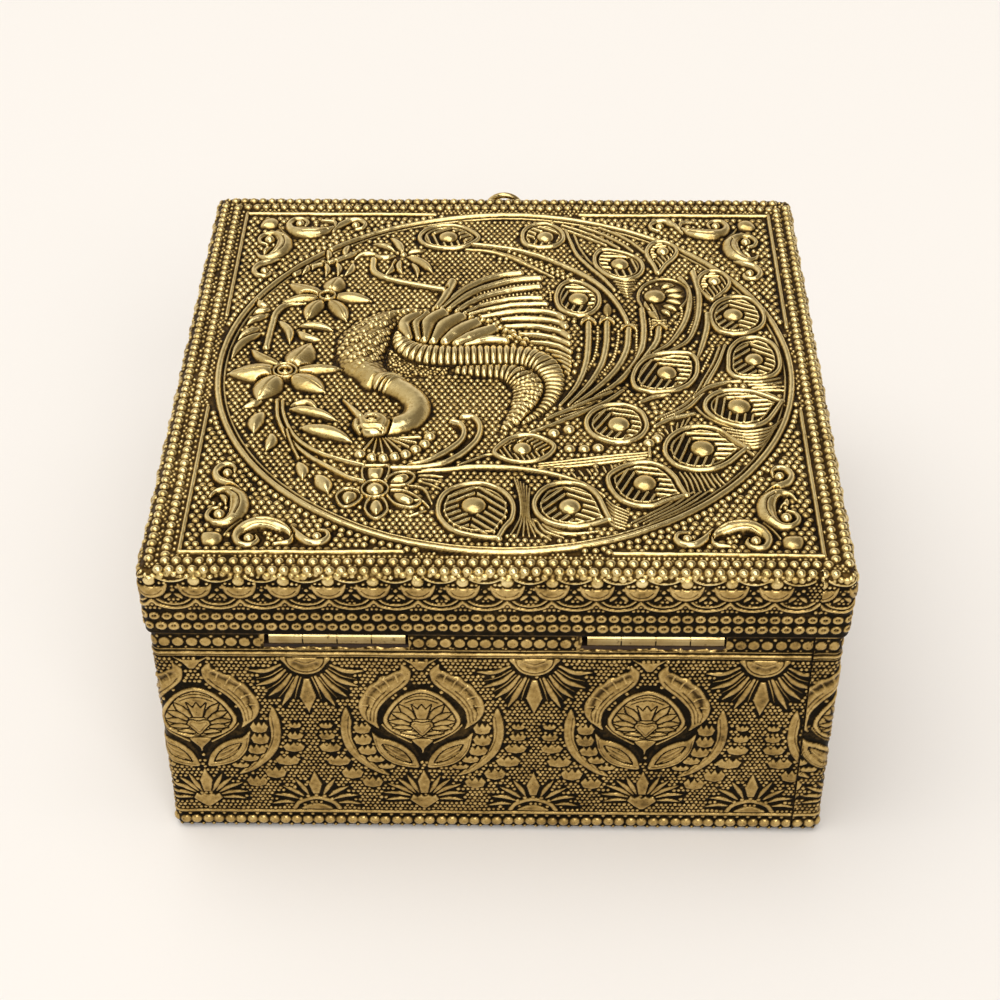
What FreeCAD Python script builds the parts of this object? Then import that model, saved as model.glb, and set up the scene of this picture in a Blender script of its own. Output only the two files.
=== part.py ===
import FreeCAD, Part
import os

V = FreeCAD.Vector
X_DIR = V(1, 0, 0)
Y_DIR = V(0, 1, 0)
Z_DIR = V(0, 0, 1)

# The frame: origin on the table under the middle of the box, +Z up, -Y the clasp side, +Y the hinge side.

# Outside sizes, in millimetres
lid_width = 152.4
lid_depth = 152.4
lid_height = 17.6
body_height = 62.1
lid_gap = 0.5
lid_overhang = 1.0
lid_corner_r = 2.5
body_corner_r = 2.0
lid_edge_r = 2.0

# Embossed brass skin
sheet = 0.4
fold_r = 0.3
top_hem = 5.0
base_hem = 8.0
skirt = 3.2
band_reveal = 1.7
seam_gap = 0.3
seam_from_corner = 6.2
mitre_gap = 0.4

# Raised lines pressed into the skin
medallion_dx = -1.2
medallion_dy = 1.3
ring_margin = 7.8
ring_ridge_r = 0.7
ring_ridge_rise = 0.4
frame_margin = 7.2
frame_ridge_r = 0.45
frame_ridge_rise = 0.3
body_ridge_half = 0.45
body_ridge_rise = 0.35
upper_ridge_drop = 6.0
lower_ridge_rise = 5.8

# Main forms pressed up out of the lid's top
bird_rise = 1.8
back_rise = 1.6
wing_rise = 0.9
petal_rise = 1.2
eye_rise = 1.1
bud_rise = 1.0
feather_rise = 0.55
quill_rise = 0.8
scroll_rise = 1.0
form_ease = 0.35

# Wooden core
wall = 7.0
rim_wall = 7.0
base_board = 4.0
lid_board = 5.0

# Lining and base felt
lining = 0.8
lining_drop = 0.6
felt = 1.2
felt_gap = 0.5

# Butt hinges
hinge_length = 29.5
hinge_spacing = 68.8
hinge_inset = 0.9
pin_r = 0.85
pin_play = 0.05
leaf = 0.9
leaf_width = 5.0
knuckle_gap = 0.3
root_gap = 0.3
mortise_play = 0.3
notch_wide_margin = 2.0
notch_narrow_margin = 0.7
notch_drop = 1.6

# Hinge nails
hinge_nail_r = 0.5
hinge_nail_length = 6.0
hinge_nail_head_r = 1.0
hinge_nail_head = 0.35
hinge_nail_pitch = 10.0
hinge_nail_setback = 3.4
nail_play = 0.05

# Clasp: a wire loop on the lid that drops over a staple on the body
wire_r = 0.8
loop_inner = 7.8
loop_reach = 11.4
loop_bend_r = 1.2
loop_lid_gap = 0.3
loop_rise = 0.0
tongue = 0.7
tongue_side_gap = 0.5
tongue_rise = 7.4
staple_wire_r = 0.7
staple_half = 1.8
staple_reach = 4.7
staple_depth = 5.0
staple_drop = 2.2
catch_plate = 0.7
catch_width = 11.0
catch_height = 4.2
catch_corner_r = 1.2
clasp_nail_r = 0.45
clasp_nail_length = 5.5
clasp_nail_head_r = 0.85
clasp_nail_head = 0.35
tongue_nail_low = 2.6
tongue_nail_high = 5.2
catch_nail_half = 4.0

# Brads that hold the wooden core together
brad_r = 0.6
brad_length = 18.0
brad_from_corner = 26.0
wall_brad_low = 15.0
wall_brad_high = 47.0
lid_brad_length = 12.0

# Worked-out places
over = 1.0
lid_hx = lid_width / 2
lid_hy = lid_depth / 2
body_hx = lid_hx - lid_overhang
body_hy = lid_hy - lid_overhang
core_hx = body_hx - sheet
core_hy = body_hy - sheet
lid_core_hx = lid_hx - sheet
lid_core_hy = lid_hy - sheet
body_core_r = body_corner_r - sheet
lid_core_r = lid_corner_r - sheet

skin_low = felt - sheet
floor_z = felt + base_board
wall_top = body_height - sheet
lid_low = body_height + lid_gap
lid_top = lid_low + lid_height
lid_board_high = lid_top - sheet
lid_board_low = lid_board_high - lid_board
band_low = lid_low + band_reveal
band_high = lid_top - skirt

barrel_r = pin_r + leaf
hinge_y = body_hy - hinge_inset
hinge_z = lid_low - barrel_r
hinge_centres = {"left": -hinge_spacing / 2, "right": hinge_spacing / 2}
knuckle_count = 4
knuckle = (hinge_length - (knuckle_count - 1) * knuckle_gap) / knuckle_count

loop_half = loop_inner / 2 + wire_r
loop_arch_z = loop_reach - loop_half
roll_r = wire_r + pin_play + tongue
loop_y = -lid_hy - roll_r
loop_z = lid_top + loop_rise - loop_reach
tongue_width = loop_inner - 2 * tongue_side_gap
staple_z = body_height - staple_drop
catch_y = -body_hy - catch_plate

# Outlines of those forms in hundredths of the lid's half width, from the hinge side: (to the right, away)
bird_neck = [
    (-27.6, 30.2), (-37, 29.2), (-48.5, 19.7), (-52, 6.6), (-48, -5.2), (-40, -13.8), (-31, -19.2),
    (-28.9, -25.5), (-33.5, -28.6), (-41.5, -27.2), (-44.2, -32.6), (-38.8, -38.2), (-29.2, -36.4),
    (-21.6, -28.2), (-22.2, -17.6), (-29.2, -8.4), (-35, 0), (-35.4, 11), (-32.4, 19.4), (-26.6, 23.2),
    (-23.6, 27),
]
bird_back = [
    (-33.4, 13.8), (-21, 9), (-4, 8.6), (10, 8.4), (18.2, -0.8), (20.1, -13.8), (16.2, -23.6), (8.6, -32.4),
    (1.6, -34.8), (3.2, -25), (1.4, -11.4), (-8, -7.6), (-16.4, -1.6), (-30, 2.2),
]
bird_wing = [
    (-25.6, 26.6), (-14, 38), (-2, 47.6), (8, 51.4), (15.6, 46.4), (19.6, 29), (21.8, 8.4), (6, 10.8),
    (-13, 10.2), (-29, 13.4),
]
# Petals and buds: start, end and width
petals = [
    ((-58.8, 38.3), (-70, 44.1), 7), ((-56.4, 39.4), (-53.5, 48.6), 8), ((-54.6, 36.7), (-42.5, 34.4), 6.4),
    ((-56.2, 34.4), (-49.9, 23.1), 6.4), ((-58.5, 34.4), (-62.7, 23.6), 6.8),
    ((-69.6, -4.5), (-84.5, -6.6), 10), ((-65.6, -2.6), (-60.1, 9.7), 10), ((-63.8, -4.7), (-49.3, -3.5), 6),
    ((-64.6, -7.9), (-53.8, -15.7), 9.2), ((-68.5, -8.1), (-74, -20.2), 9.6),
]
buds = [
    ((-63.6, -24.4), (-49.1, -30.2), 4.6), ((-59.6, -34.1), (-43.8, -40.7), 6),
    ((-71.4, -26.2), (-73.5, -36.2), 5), ((-53.3, -57), (-49.1, -64.6), 5), ((-59, -50.6), (-57, -58.5), 4),
]
# Eyes of the tail feathers and bosses of the near flower: centre and radius
eyes = [
    ((-18.6, 73.6), 3.3), ((14.3, 73.8), 3), ((39.1, 57.2), 3.1), ((53.8, 65.2), 2.2), ((24.9, 36.2), 3.4),
    ((50.8, 37), 3.1), ((69.9, 47.1), 2.2), ((74.7, 27.7), 3.3), ((79.4, 2.9), 3), ((51.7, -4.6), 3.3),
    ((72.8, -21.7), 3.7), ((60.4, -42.7), 3.7), ((36, -31), 3.4), ((42.7, -59.1), 3.5), ((20.7, -69.9), 3.3),
    ((-6.8, -69.8), 3.7), ((7, -43.2), 2.9), ((-35.6, -63), 2.8), ((-35.8, -55.9), 2.2),
    ((-28.5, -57.9), 2.2), ((-27, -67.3), 2.2), ((-34.5, -71.8), 2.2), ((-42.5, -66.8), 2.2),
]
# Eye feathers of the tail: start, end and width
feathers = [
    ((-28.3, 73.5), (-8.4, 73.5), 15), ((13.1, 67.2), (13.9, 82.1), 13.6), ((32.2, 65.4), (44, 48.6), 14.4),
    ((51.7, 52), (54.2, 71.2), 9.7), ((22.3, 47), (26.2, 26.6), 13.9), ((50.5, 23.6), (53.8, 48.3), 15),
    ((68.5, 36.2), (69.8, 53.3), 10.5), ((74.8, 16.8), (78.1, 37.8), 17), ((77.2, -7), (80.3, 14.7), 16),
    ((61.1, 0), (41.2, -9.2), 18.2), ((84.1, -19.7), (62.6, -23), 17.8), ((71.6, -42.5), (49.2, -43.3), 20.4),
    ((44.4, -30.2), (26.2, -30.8), 17.6), ((52.8, -61.7), (32.2, -56.4), 19),
    ((10.5, -69.6), (30.4, -71.5), 18.8), ((-16.9, -70.9), (4.5, -72.2), 20.4),
    ((-1.3, -45.1), (16.4, -42), 11.8),
]
# Quills and sweeps of the tail: start, end, width and how far the middle bows to the left of the way
quills = [
    ((18.4, -21.7), (28, 22), 3.2, -3.2), ((21, -21.3), (33.9, 22.3), 3.2, -3.8),
    ((24.3, -22), (45.4, 30.2), 3.4, -7.6), ((52.5, 6.6), (63.3, 52.5), 3.4, -5.4),
    ((49.2, -27.6), (69, 9.2), 3.4, -4), ((-9.8, 68.6), (40.4, 22.3), 3, 11.4),
    ((-31.5, -52.5), (30.7, -65.1), 3, 6.8),
]
# Scrolls of the corner at the near left, from the medallion's middle; the other corners mirror them
scrolls = [((-84, -58.3), (-79.4, -77.4), 4.6, 6), ((-77.6, -79.3), (-57, -85.3), 4.6, 5.9)]


def box(x_span, y_span, z_span):
    """Block between three pairs of limits."""
    corner = V(x_span[0], y_span[0], z_span[0])
    size = V(x_span[1], y_span[1], z_span[1]) - corner
    return Part.makeBox(size.x, size.y, size.z, corner)


def centred(half):
    """Limits that lie evenly about zero."""
    return (-half, half)


def rod(radius, start, direction, length):
    """Round bar from a start point along a direction."""
    return Part.makeCylinder(radius, length, start, direction)


def is_upright(edge):
    """True where an edge runs straight up."""
    return abs(edge.tangentAt(edge.FirstParameter).z) > 0.5


def upright_block(half_x, half_y, z_span, corner_r):
    """Block about the Z axis with its four upright corners rounded."""
    block = box(centred(half_x), centred(half_y), z_span)
    return block.makeFillet(corner_r, [edge for edge in block.Edges if is_upright(edge)])


def round_rim(block, level, radius):
    """The block with every edge at one level rounded over."""
    tolerance = 1e-6
    rim = []
    for edge in block.Edges:
        if all(abs(vertex.Point.z - level) < tolerance for vertex in edge.Vertexes):
            rim.append(edge)
    return block.makeFillet(radius, rim)


def four_walls(half_x, half_y, thickness, z_span, corner_r):
    """Front and back walls of the full width with the two side walls between them."""
    block = upright_block(half_x, half_y, z_span, corner_r)
    inside_x = half_x - thickness
    inside_y = half_y - thickness
    spans = {
        "front": (centred(half_x), (-half_y, -inside_y)),
        "back": (centred(half_x), (inside_y, half_y)),
        "left": ((-half_x, -inside_x), centred(inside_y)),
        "right": ((inside_x, half_x), centred(inside_y)),
    }
    return {side: block.common(box(span[0], span[1], z_span)) for side, span in spans.items()}


def lining_panels(half_x, half_y, z_span):
    """Four thin panels against the inside of four walls."""
    inside_x = half_x - lining
    inside_y = half_y - lining
    return {
        "front": box(centred(half_x), (-half_y, -inside_y), z_span),
        "back": box(centred(half_x), (inside_y, half_y), z_span),
        "left": box((-half_x, -inside_x), centred(inside_y), z_span),
        "right": box((inside_x, half_x), centred(inside_y), z_span),
    }


def hinge_span(centre):
    """Width of the pocket cut for one hinge, a little off centre as it was chopped by hand."""
    half = hinge_length / 2
    return (centre - half - notch_narrow_margin, centre + half + notch_wide_margin)


def hinge_pocket(centre):
    """Mortise for both leaves of a closed hinge, deeper under the barrel."""
    span = hinge_span(centre)
    high = body_height + over
    outside = body_hy + over
    leaf_floor = hinge_z - barrel_r
    leaves = box(span, (hinge_y - leaf_width - mortise_play, outside), (leaf_floor, high))
    barrel = box(span, (hinge_y - barrel_r - mortise_play, outside), (leaf_floor - mortise_play, high))
    return leaves.fuse(barrel)


def skin_notch(centre):
    """Notch in the skin of the hinge side, cut lower than the hinge needs."""
    low = hinge_z - barrel_r - notch_drop
    return box(hinge_span(centre), (core_hy - over, body_hy + over), (low, body_height + over))


def raised_line(half_x, half_y, level, corner_r):
    """Raised line pressed round all four sides of the skin."""
    span = (level - body_ridge_half, level + body_ridge_half)
    rise = body_ridge_rise
    outside = upright_block(half_x + rise, half_y + rise, span, corner_r + rise)
    for edge_level in span:
        outside = round_rim(outside, edge_level, min(body_ridge_half, rise) / 2)
    return outside.cut(upright_block(half_x - sheet, half_y - sheet, span, corner_r - sheet))


def mitre_slits(half_x, half_y, reach, z_span):
    """Diagonal cuts where a folded hem meets itself at each corner."""
    slits = []
    for x_sign in (-1, 1):
        for y_sign in (-1, 1):
            length = 2 * reach
            slit = box((0, length), centred(mitre_gap / 2), z_span)
            turn = FreeCAD.Rotation(V(1, 0, 0), V(-x_sign, -y_sign, 0))
            inside = V(x_sign * (half_x - lid_corner_r), y_sign * (half_y - lid_corner_r), 0)
            slit.Placement = FreeCAD.Placement(inside, turn)
            slits.append(slit)
    return slits


def make_body_cladding():
    """One sheet wrapped round the body, with hems turned over the top edge and under the base."""
    outer = upright_block(body_hx, body_hy, (skin_low, body_height), body_corner_r)
    outer = round_rim(outer, body_height, fold_r)
    outer = round_rim(outer, skin_low, fold_r)
    core = upright_block(core_hx, core_hy, (felt, wall_top), body_core_r)
    middle = body_height / 2
    mouth = box(centred(body_hx - top_hem), centred(body_hy - top_hem), (middle, body_height + over))
    base = box(centred(body_hx - base_hem), centred(body_hy - base_hem), (skin_low - over, middle))
    skin = outer.cut(core).cut(mouth).cut(base)
    for level in (body_height - upper_ridge_drop, lower_ridge_rise):
        skin = skin.fuse(raised_line(body_hx, body_hy, level, body_corner_r))
    seam_x = -body_hx + seam_from_corner
    seam_y = (core_hy - base_hem, body_hy + over)
    seam = box((seam_x, seam_x + seam_gap), seam_y, (skin_low - over, body_height + over))
    cuts = [seam]
    for centre in hinge_centres.values():
        cuts += [hinge_pocket(centre), skin_notch(centre)]
    cuts += mitre_slits(body_hx, body_hy, top_hem, (wall_top - sheet, body_height + over))
    cuts += mitre_slits(body_hx, body_hy, base_hem, (skin_low - over, felt + sheet))
    return skin.cut(cuts).removeSplitter()


def make_lid_core():
    """Outside of the lid's woodwork, rounded over at the top so that the sheet folds round it."""
    block = upright_block(lid_core_hx, lid_core_hy, (lid_low, lid_board_high), lid_core_r)
    return round_rim(block, lid_board_high, lid_edge_r - sheet)


def art_unit():
    """One hundredth of the lid's half width, the unit of the raised artwork."""
    return min(lid_hx, lid_hy) / 100


def art_point(place):
    """Where a place of the artwork lies, half way through the sheet on the lid's top."""
    return V(-place[0] * art_unit(), -place[1] * art_unit(), lid_top - sheet / 2)


def plain_form(edges, rise):
    """A plain form pressed up out of the sheet."""
    return Part.Face(Part.Wire(edges)).extrude(Z_DIR * (rise + sheet / 2))


def raised_form(edges, rise):
    """A wide form pressed up out of the sheet, its upper edges eased."""
    block = plain_form(edges, rise)
    upper = [edge for edge in block.Edges if min(v.Z for v in edge.Vertexes) > lid_top + rise / 2]
    return block.makeChamfer(form_ease, upper)


def smooth_outline(places):
    """Closed curve through the places of an outline."""
    curve = Part.BSplineCurve()
    curve.interpolate(Points=[art_point(place) for place in places], PeriodicFlag=True)
    return [curve.toShape()]


def leaf_outline(start, end, width, bow=0):
    """Two arcs that meet in a point at each end of a petal, bud, feather or scroll."""
    first = art_point(start)
    last = art_point(end)
    way = last - first
    left = V(-way.y, way.x, 0).normalize() * art_unit()
    side = left * (width / 2)
    middle = (first + last) * 0.5 + left * bow
    return [
        Part.Arc(first, middle + side, last).toShape(),
        Part.Arc(last, middle - side, first).toShape(),
    ]


def raised_forms():
    """The peacock, the flowers, the tail's quills and eye feathers, and the corners' scrolls."""
    forms = [
        raised_form(smooth_outline(bird_neck), bird_rise),
        raised_form(smooth_outline(bird_back), back_rise),
        raised_form(smooth_outline(bird_wing), wing_rise),
    ]
    forms += [raised_form(leaf_outline(*petal), petal_rise) for petal in petals]
    forms += [raised_form(leaf_outline(*bud), bud_rise) for bud in buds]
    forms += [plain_form(leaf_outline(*feather), feather_rise) for feather in feathers]
    forms += [plain_form(leaf_outline(*quill), quill_rise) for quill in quills]
    middle_x = -medallion_dx / art_unit()
    middle_y = -medallion_dy / art_unit()
    for right in (1, -1):
        for away in (1, -1):
            for start, end, width, bow in scrolls:
                first = (middle_x + right * start[0], middle_y + away * start[1])
                last = (middle_x + right * end[0], middle_y + away * end[1])
                outline = leaf_outline(first, last, width, bow * right * away)
                forms.append(plain_form(outline, scroll_rise))
    for place, radius in eyes:
        forms.append(rod(radius * art_unit(), art_point(place), Z_DIR, eye_rise + sheet / 2))
    return forms


def make_lid_top_cladding(core):
    """Top sheet folded down over the edge of the lid, with its ring, square frame and main raised forms."""
    outer = upright_block(lid_hx, lid_hy, (band_high, lid_top), lid_corner_r)
    cap = round_rim(outer, lid_top, lid_edge_r).cut(core)
    centre = V(medallion_dx, medallion_dy, 0)
    above = box(centred(lid_width), centred(lid_depth), (lid_top - sheet / 2, lid_top + over))
    ring_r = min(lid_hx, lid_hy) - ring_margin
    ring_z = Z_DIR * (lid_top + ring_ridge_rise - ring_ridge_r)
    ridges = [Part.makeTorus(ring_r, ring_ridge_r, centre + ring_z)]
    frame_z = Z_DIR * (lid_top + frame_ridge_rise - frame_ridge_r)
    frame_hx = lid_hx - frame_margin
    frame_hy = lid_hy - frame_margin
    for sign in (-1, 1):
        start_y = centre + frame_z + V(sign * frame_hx, -frame_hy, 0)
        start_x = centre + frame_z + V(-frame_hx, sign * frame_hy, 0)
        ridges.append(rod(frame_ridge_r, start_y, Y_DIR, 2 * frame_hy))
        ridges.append(rod(frame_ridge_r, start_x, X_DIR, 2 * frame_hx))
    for ridge in ridges:
        cap = cap.fuse(ridge.common(above))
    return cap.fuse(raised_forms()).removeSplitter()


def make_lid_rim_cladding():
    """Band round the lid's sides, lapped shut at one corner."""
    span = (band_low, band_high)
    outer = upright_block(lid_hx, lid_hy, span, lid_corner_r)
    band = outer.cut(upright_block(lid_core_hx, lid_core_hy, span, lid_core_r))
    seam_x = -lid_hx + lid_corner_r
    return band.cut(box((seam_x, seam_x + seam_gap), (lid_core_hy - over, lid_hy + over), span))


def make_hinge_leaf(centre, side, knuckles, bore_r):
    """Plate with rolled knuckles; side is +1 under the lid and -1 in the body's mortise."""
    near = -(barrel_r + root_gap)
    outer_z = side * barrel_r
    inner_z = side * (barrel_r - leaf)
    plate_z = (min(outer_z, inner_z), max(outer_z, inner_z))
    shape = box(centred(hinge_length / 2), (-leaf_width, near), plate_z)
    for index in knuckles:
        start = -hinge_length / 2 + index * (knuckle + knuckle_gap)
        shape = shape.fuse(box((start, start + knuckle), (near, 0), plate_z))
        shape = shape.fuse(rod(barrel_r, V(start, 0, 0), X_DIR, knuckle))
    shape = shape.cut(rod(bore_r, V(-hinge_length, 0, 0), X_DIR, 2 * hinge_length))
    through = barrel_r + over
    for offset in (-hinge_nail_pitch, 0, hinge_nail_pitch):
        start = V(offset, -hinge_nail_setback, -through)
        shape = shape.cut(rod(hinge_nail_r + nail_play, start, Z_DIR, 2 * through))
    shape = shape.removeSplitter()
    shape.translate(V(centre, hinge_y, hinge_z))
    return shape


def make_nail(size, seat, direction):
    """Round-headed nail whose head sits on a seat point and whose shank runs along a direction."""
    head_r, head, shank_r, length = size
    shank = rod(shank_r, seat, direction, length)
    return rod(head_r, seat - direction * head, direction, head).fuse(shank)


def hinge_nails(side):
    """Nails of both hinges, up into the lid's rim or down into the body's wall."""
    size = (hinge_nail_head_r, hinge_nail_head, hinge_nail_r, hinge_nail_length)
    seat_z = hinge_z + side * (barrel_r - leaf)
    nails = []
    for centre in hinge_centres.values():
        for offset in (-hinge_nail_pitch, 0, hinge_nail_pitch):
            seat = V(centre + offset, hinge_y - hinge_nail_setback, seat_z)
            nails.append(make_nail(size, seat, Z_DIR * side))
    return nails


def make_hasp_plate():
    """Brass tongue nailed to the lid's front and rolled round the straight bar of the wire loop."""
    half = tongue_width / 2
    arch_z = loop_z + tongue_rise - half
    plate = box(centred(half), (-lid_hy - tongue, -lid_hy), (loop_z, arch_z))
    plate = plate.fuse(rod(half, V(0, -lid_hy - tongue, arch_z), Y_DIR, tongue))
    roll = rod(roll_r, V(-half, loop_y, loop_z), X_DIR, tongue_width)
    bore = rod(wire_r + pin_play, V(-half - over, loop_y, loop_z), X_DIR, tongue_width + 2 * over)
    return plate.fuse(roll).cut(bore).removeSplitter()


def make_hasp_loop():
    """Closed wire loop: a straight bar, two legs and a round arch, leaning back on the lid's front edge."""
    bend = loop_bend_r
    leg_x = loop_half
    pieces = [rod(wire_r, V(-leg_x + bend, 0, 0), X_DIR, 2 * (leg_x - bend))]
    for sign in (-1, 1):
        pieces.append(rod(wire_r, V(sign * leg_x, 0, bend), Z_DIR, loop_arch_z - bend))
        elbow = Part.makeTorus(bend, wire_r, V(sign * (leg_x - bend), 0, bend), Y_DIR)
        inner_x = sign * (leg_x - bend)
        outer_x = sign * 2 * leg_x
        quarter_x = (min(inner_x, outer_x), max(inner_x, outer_x))
        pieces.append(elbow.common(box(quarter_x, centred(leg_x), (-2 * leg_x, bend))))
    arch = Part.makeTorus(leg_x, wire_r, V(0, 0, loop_arch_z), Y_DIR)
    upper_half = box(centred(2 * leg_x), centred(leg_x), (loop_arch_z, loop_arch_z + 2 * leg_x))
    pieces.append(arch.common(upper_half))
    loop = pieces[0].fuse(pieces[1:]).removeSplitter()
    lean_in = roll_r - wire_r - loop_lid_gap
    lean = FreeCAD.Rotation(Z_DIR, V(0, lean_in, loop_reach))
    loop.Placement = FreeCAD.Placement(V(0, loop_y, loop_z), lean)
    return loop


def make_catch_plate():
    """Small brass plate on the body's front under the staple."""
    tall = (staple_z - catch_height / 2, staple_z + catch_height / 2)
    block = box(centred(catch_width / 2), (catch_y, -body_hy), tall)
    corners = [edge for edge in block.Edges if abs(edge.tangentAt(edge.FirstParameter).y) > 0.5]
    return block.makeFillet(catch_corner_r, corners)


def make_staple():
    """Round wire staple whose eye stands out through the loop when it is closed."""
    tip_y = -body_hy - staple_reach + staple_half
    bow = Part.makeTorus(staple_half, staple_wire_r, V(0, tip_y, staple_z), Z_DIR)
    reach = 2 * staple_half
    front = box(centred(reach), (tip_y - reach, tip_y), (staple_z - reach, staple_z + reach))
    legs = []
    for sign in (-1, 1):
        start = V(sign * staple_half, tip_y, staple_z)
        legs.append(rod(staple_wire_r, start, Y_DIR, -body_hy + staple_depth - tip_y))
    return bow.common(front).fuse(legs).removeSplitter()


def clasp_nails(seats):
    """Nails driven straight back through a clasp plate."""
    size = (clasp_nail_head_r, clasp_nail_head, clasp_nail_r, clasp_nail_length)
    return [make_nail(size, seat, Y_DIR) for seat in seats]


def wall_brads():
    """Brads through the front and back walls into the ends of the side walls."""
    brads = []
    for x_sign in (-1, 1):
        for y_sign in (-1, 1):
            for level in (wall_brad_low, wall_brad_high):
                start = V(x_sign * (core_hx - wall / 2), y_sign * core_hy, level)
                brads.append(rod(brad_r, start, Y_DIR * -y_sign, brad_length))
    return brads


def frame_brads(half_x, half_y, thickness, level, direction, length):
    """Brads through a board into the four walls that it closes, two to a wall."""
    brads = []
    for first in (-1, 1):
        for second in (-1, 1):
            along_x = V(first * (half_x - brad_from_corner), second * (half_y - thickness / 2), level)
            along_y = V(first * (half_x - thickness / 2), second * (half_y - brad_from_corner), level)
            brads.append(rod(brad_r, along_x, direction, length))
            brads.append(rod(brad_r, along_y, direction, length))
    return brads


def build():
    """Every piece of the box by its name."""
    pieces = {}
    walls = four_walls(core_hx, core_hy, wall, (floor_z, wall_top), body_core_r)
    rims = four_walls(lid_core_hx, lid_core_hy, rim_wall, (lid_low, lid_board_low), lid_core_r)
    base = upright_block(core_hx, core_hy, (felt, floor_z), body_core_r)
    lid_core = make_lid_core()
    board = lid_core.common(box(centred(lid_width), centred(lid_depth), (lid_board_low, lid_top)))
    body_skin = make_body_cladding()
    band = make_lid_rim_cladding()
    pieces["lid_top_cladding"] = make_lid_top_cladding(lid_core)

    # Hinges, their pockets and their nails
    body_nails = hinge_nails(-1)
    lid_nails = hinge_nails(1)
    pockets = [hinge_pocket(centre) for centre in hinge_centres.values()]
    walls["back"] = walls["back"].cut(pockets + body_nails)
    rims["back"] = rims["back"].cut(lid_nails)
    for side, centre in hinge_centres.items():
        pieces["hinge_%s_body_leaf" % side] = make_hinge_leaf(centre, -1, (0, 2), pin_r)
        pieces["hinge_%s_lid_leaf" % side] = make_hinge_leaf(centre, 1, (1, 3), pin_r + pin_play)
        pin_start = V(centre - hinge_length / 2, hinge_y, hinge_z)
        pieces["hinge_%s_pin" % side] = rod(pin_r, pin_start, X_DIR, hinge_length)
    pieces["body_hinge_nails"] = Part.makeCompound(body_nails)
    pieces["lid_hinge_nails"] = Part.makeCompound(lid_nails)

    # Clasp
    tongue_seats = [V(0, -lid_hy - tongue, loop_z + rise) for rise in (tongue_nail_low, tongue_nail_high)]
    catch_seats = [V(sign * catch_nail_half, catch_y, staple_z) for sign in (-1, 1)]
    tongue_nails = clasp_nails(tongue_seats)
    catch_nails = clasp_nails(catch_seats)
    staple = make_staple()
    pieces["hasp_plate"] = make_hasp_plate().cut(tongue_nails)
    pieces["hasp_nails"] = Part.makeCompound(tongue_nails)
    pieces["hasp_loop"] = make_hasp_loop()
    pieces["catch_plate"] = make_catch_plate().cut(catch_nails + [staple])
    pieces["catch_staple"] = staple
    pieces["catch_nails"] = Part.makeCompound(catch_nails)
    band = band.cut(tongue_nails)
    rims["front"] = rims["front"].cut(tongue_nails)
    body_skin = body_skin.cut(catch_nails + [staple])
    walls["front"] = walls["front"].cut(catch_nails + [staple])

    # Brads of the wooden core
    corner_brads = wall_brads()
    base_brads = frame_brads(core_hx, core_hy, wall, felt, Z_DIR, brad_length)
    lid_brads = frame_brads(lid_core_hx, lid_core_hy, rim_wall, lid_board_high, Z_DIR * -1, lid_brad_length)
    walls = {side: piece.cut(corner_brads + base_brads) for side, piece in walls.items()}
    rims = {side: piece.cut(lid_brads) for side, piece in rims.items()}
    pieces["base_board"] = base.cut(base_brads)
    pieces["lid_top_board"] = board.cut(lid_brads)
    pieces["wall_brads"] = Part.makeCompound(corner_brads)
    pieces["base_brads"] = Part.makeCompound(base_brads)
    pieces["lid_brads"] = Part.makeCompound(lid_brads)

    # Skin, felt and linings
    pieces["body_cladding"] = body_skin
    pieces["lid_rim_cladding"] = band
    felt_hx = body_hx - base_hem - felt_gap
    felt_hy = body_hy - base_hem - felt_gap
    pieces["base_felt"] = upright_block(felt_hx, felt_hy, (0, felt), body_corner_r)
    inner_x = core_hx - wall
    inner_y = core_hy - wall
    lid_inner_x = lid_core_hx - rim_wall
    lid_inner_y = lid_core_hy - rim_wall
    pieces["lining_floor"] = box(centred(inner_x), centred(inner_y), (floor_z, floor_z + lining))
    lid_lining_z = (lid_board_low - lining, lid_board_low)
    pieces["lid_lining_top"] = box(centred(lid_inner_x), centred(lid_inner_y), lid_lining_z)
    body_linings = lining_panels(inner_x, inner_y, (floor_z + lining, body_height - lining_drop))
    lid_linings = lining_panels(lid_inner_x, lid_inner_y, (lid_low + lining_drop, lid_board_low - lining))
    for side in walls:
        pieces["body_%s_wall" % side] = walls[side]
        pieces["lid_%s_rim" % side] = rims[side]
        pieces["lining_%s" % side] = body_linings[side]
        pieces["lid_lining_%s" % side] = lid_linings[side]
    return pieces


os.makedirs("parts", exist_ok=True)
for name, piece in build().items():
    piece.exportStep("parts/%s.step" % name)
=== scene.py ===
import math

import bpy
import numpy as np
from mathutils import Matrix, Vector


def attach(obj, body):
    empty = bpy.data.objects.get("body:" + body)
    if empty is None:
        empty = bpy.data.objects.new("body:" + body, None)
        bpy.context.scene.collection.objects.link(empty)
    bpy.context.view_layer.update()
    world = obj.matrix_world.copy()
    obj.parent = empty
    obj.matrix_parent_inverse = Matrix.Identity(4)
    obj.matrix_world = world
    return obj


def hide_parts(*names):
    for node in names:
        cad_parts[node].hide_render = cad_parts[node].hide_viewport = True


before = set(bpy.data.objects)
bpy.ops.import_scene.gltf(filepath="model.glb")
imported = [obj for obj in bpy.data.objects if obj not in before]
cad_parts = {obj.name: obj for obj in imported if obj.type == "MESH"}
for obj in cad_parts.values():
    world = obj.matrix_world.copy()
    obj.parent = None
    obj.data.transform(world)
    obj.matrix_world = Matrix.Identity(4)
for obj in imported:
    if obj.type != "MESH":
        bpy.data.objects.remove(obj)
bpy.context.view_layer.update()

MM = 0.001

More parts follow.
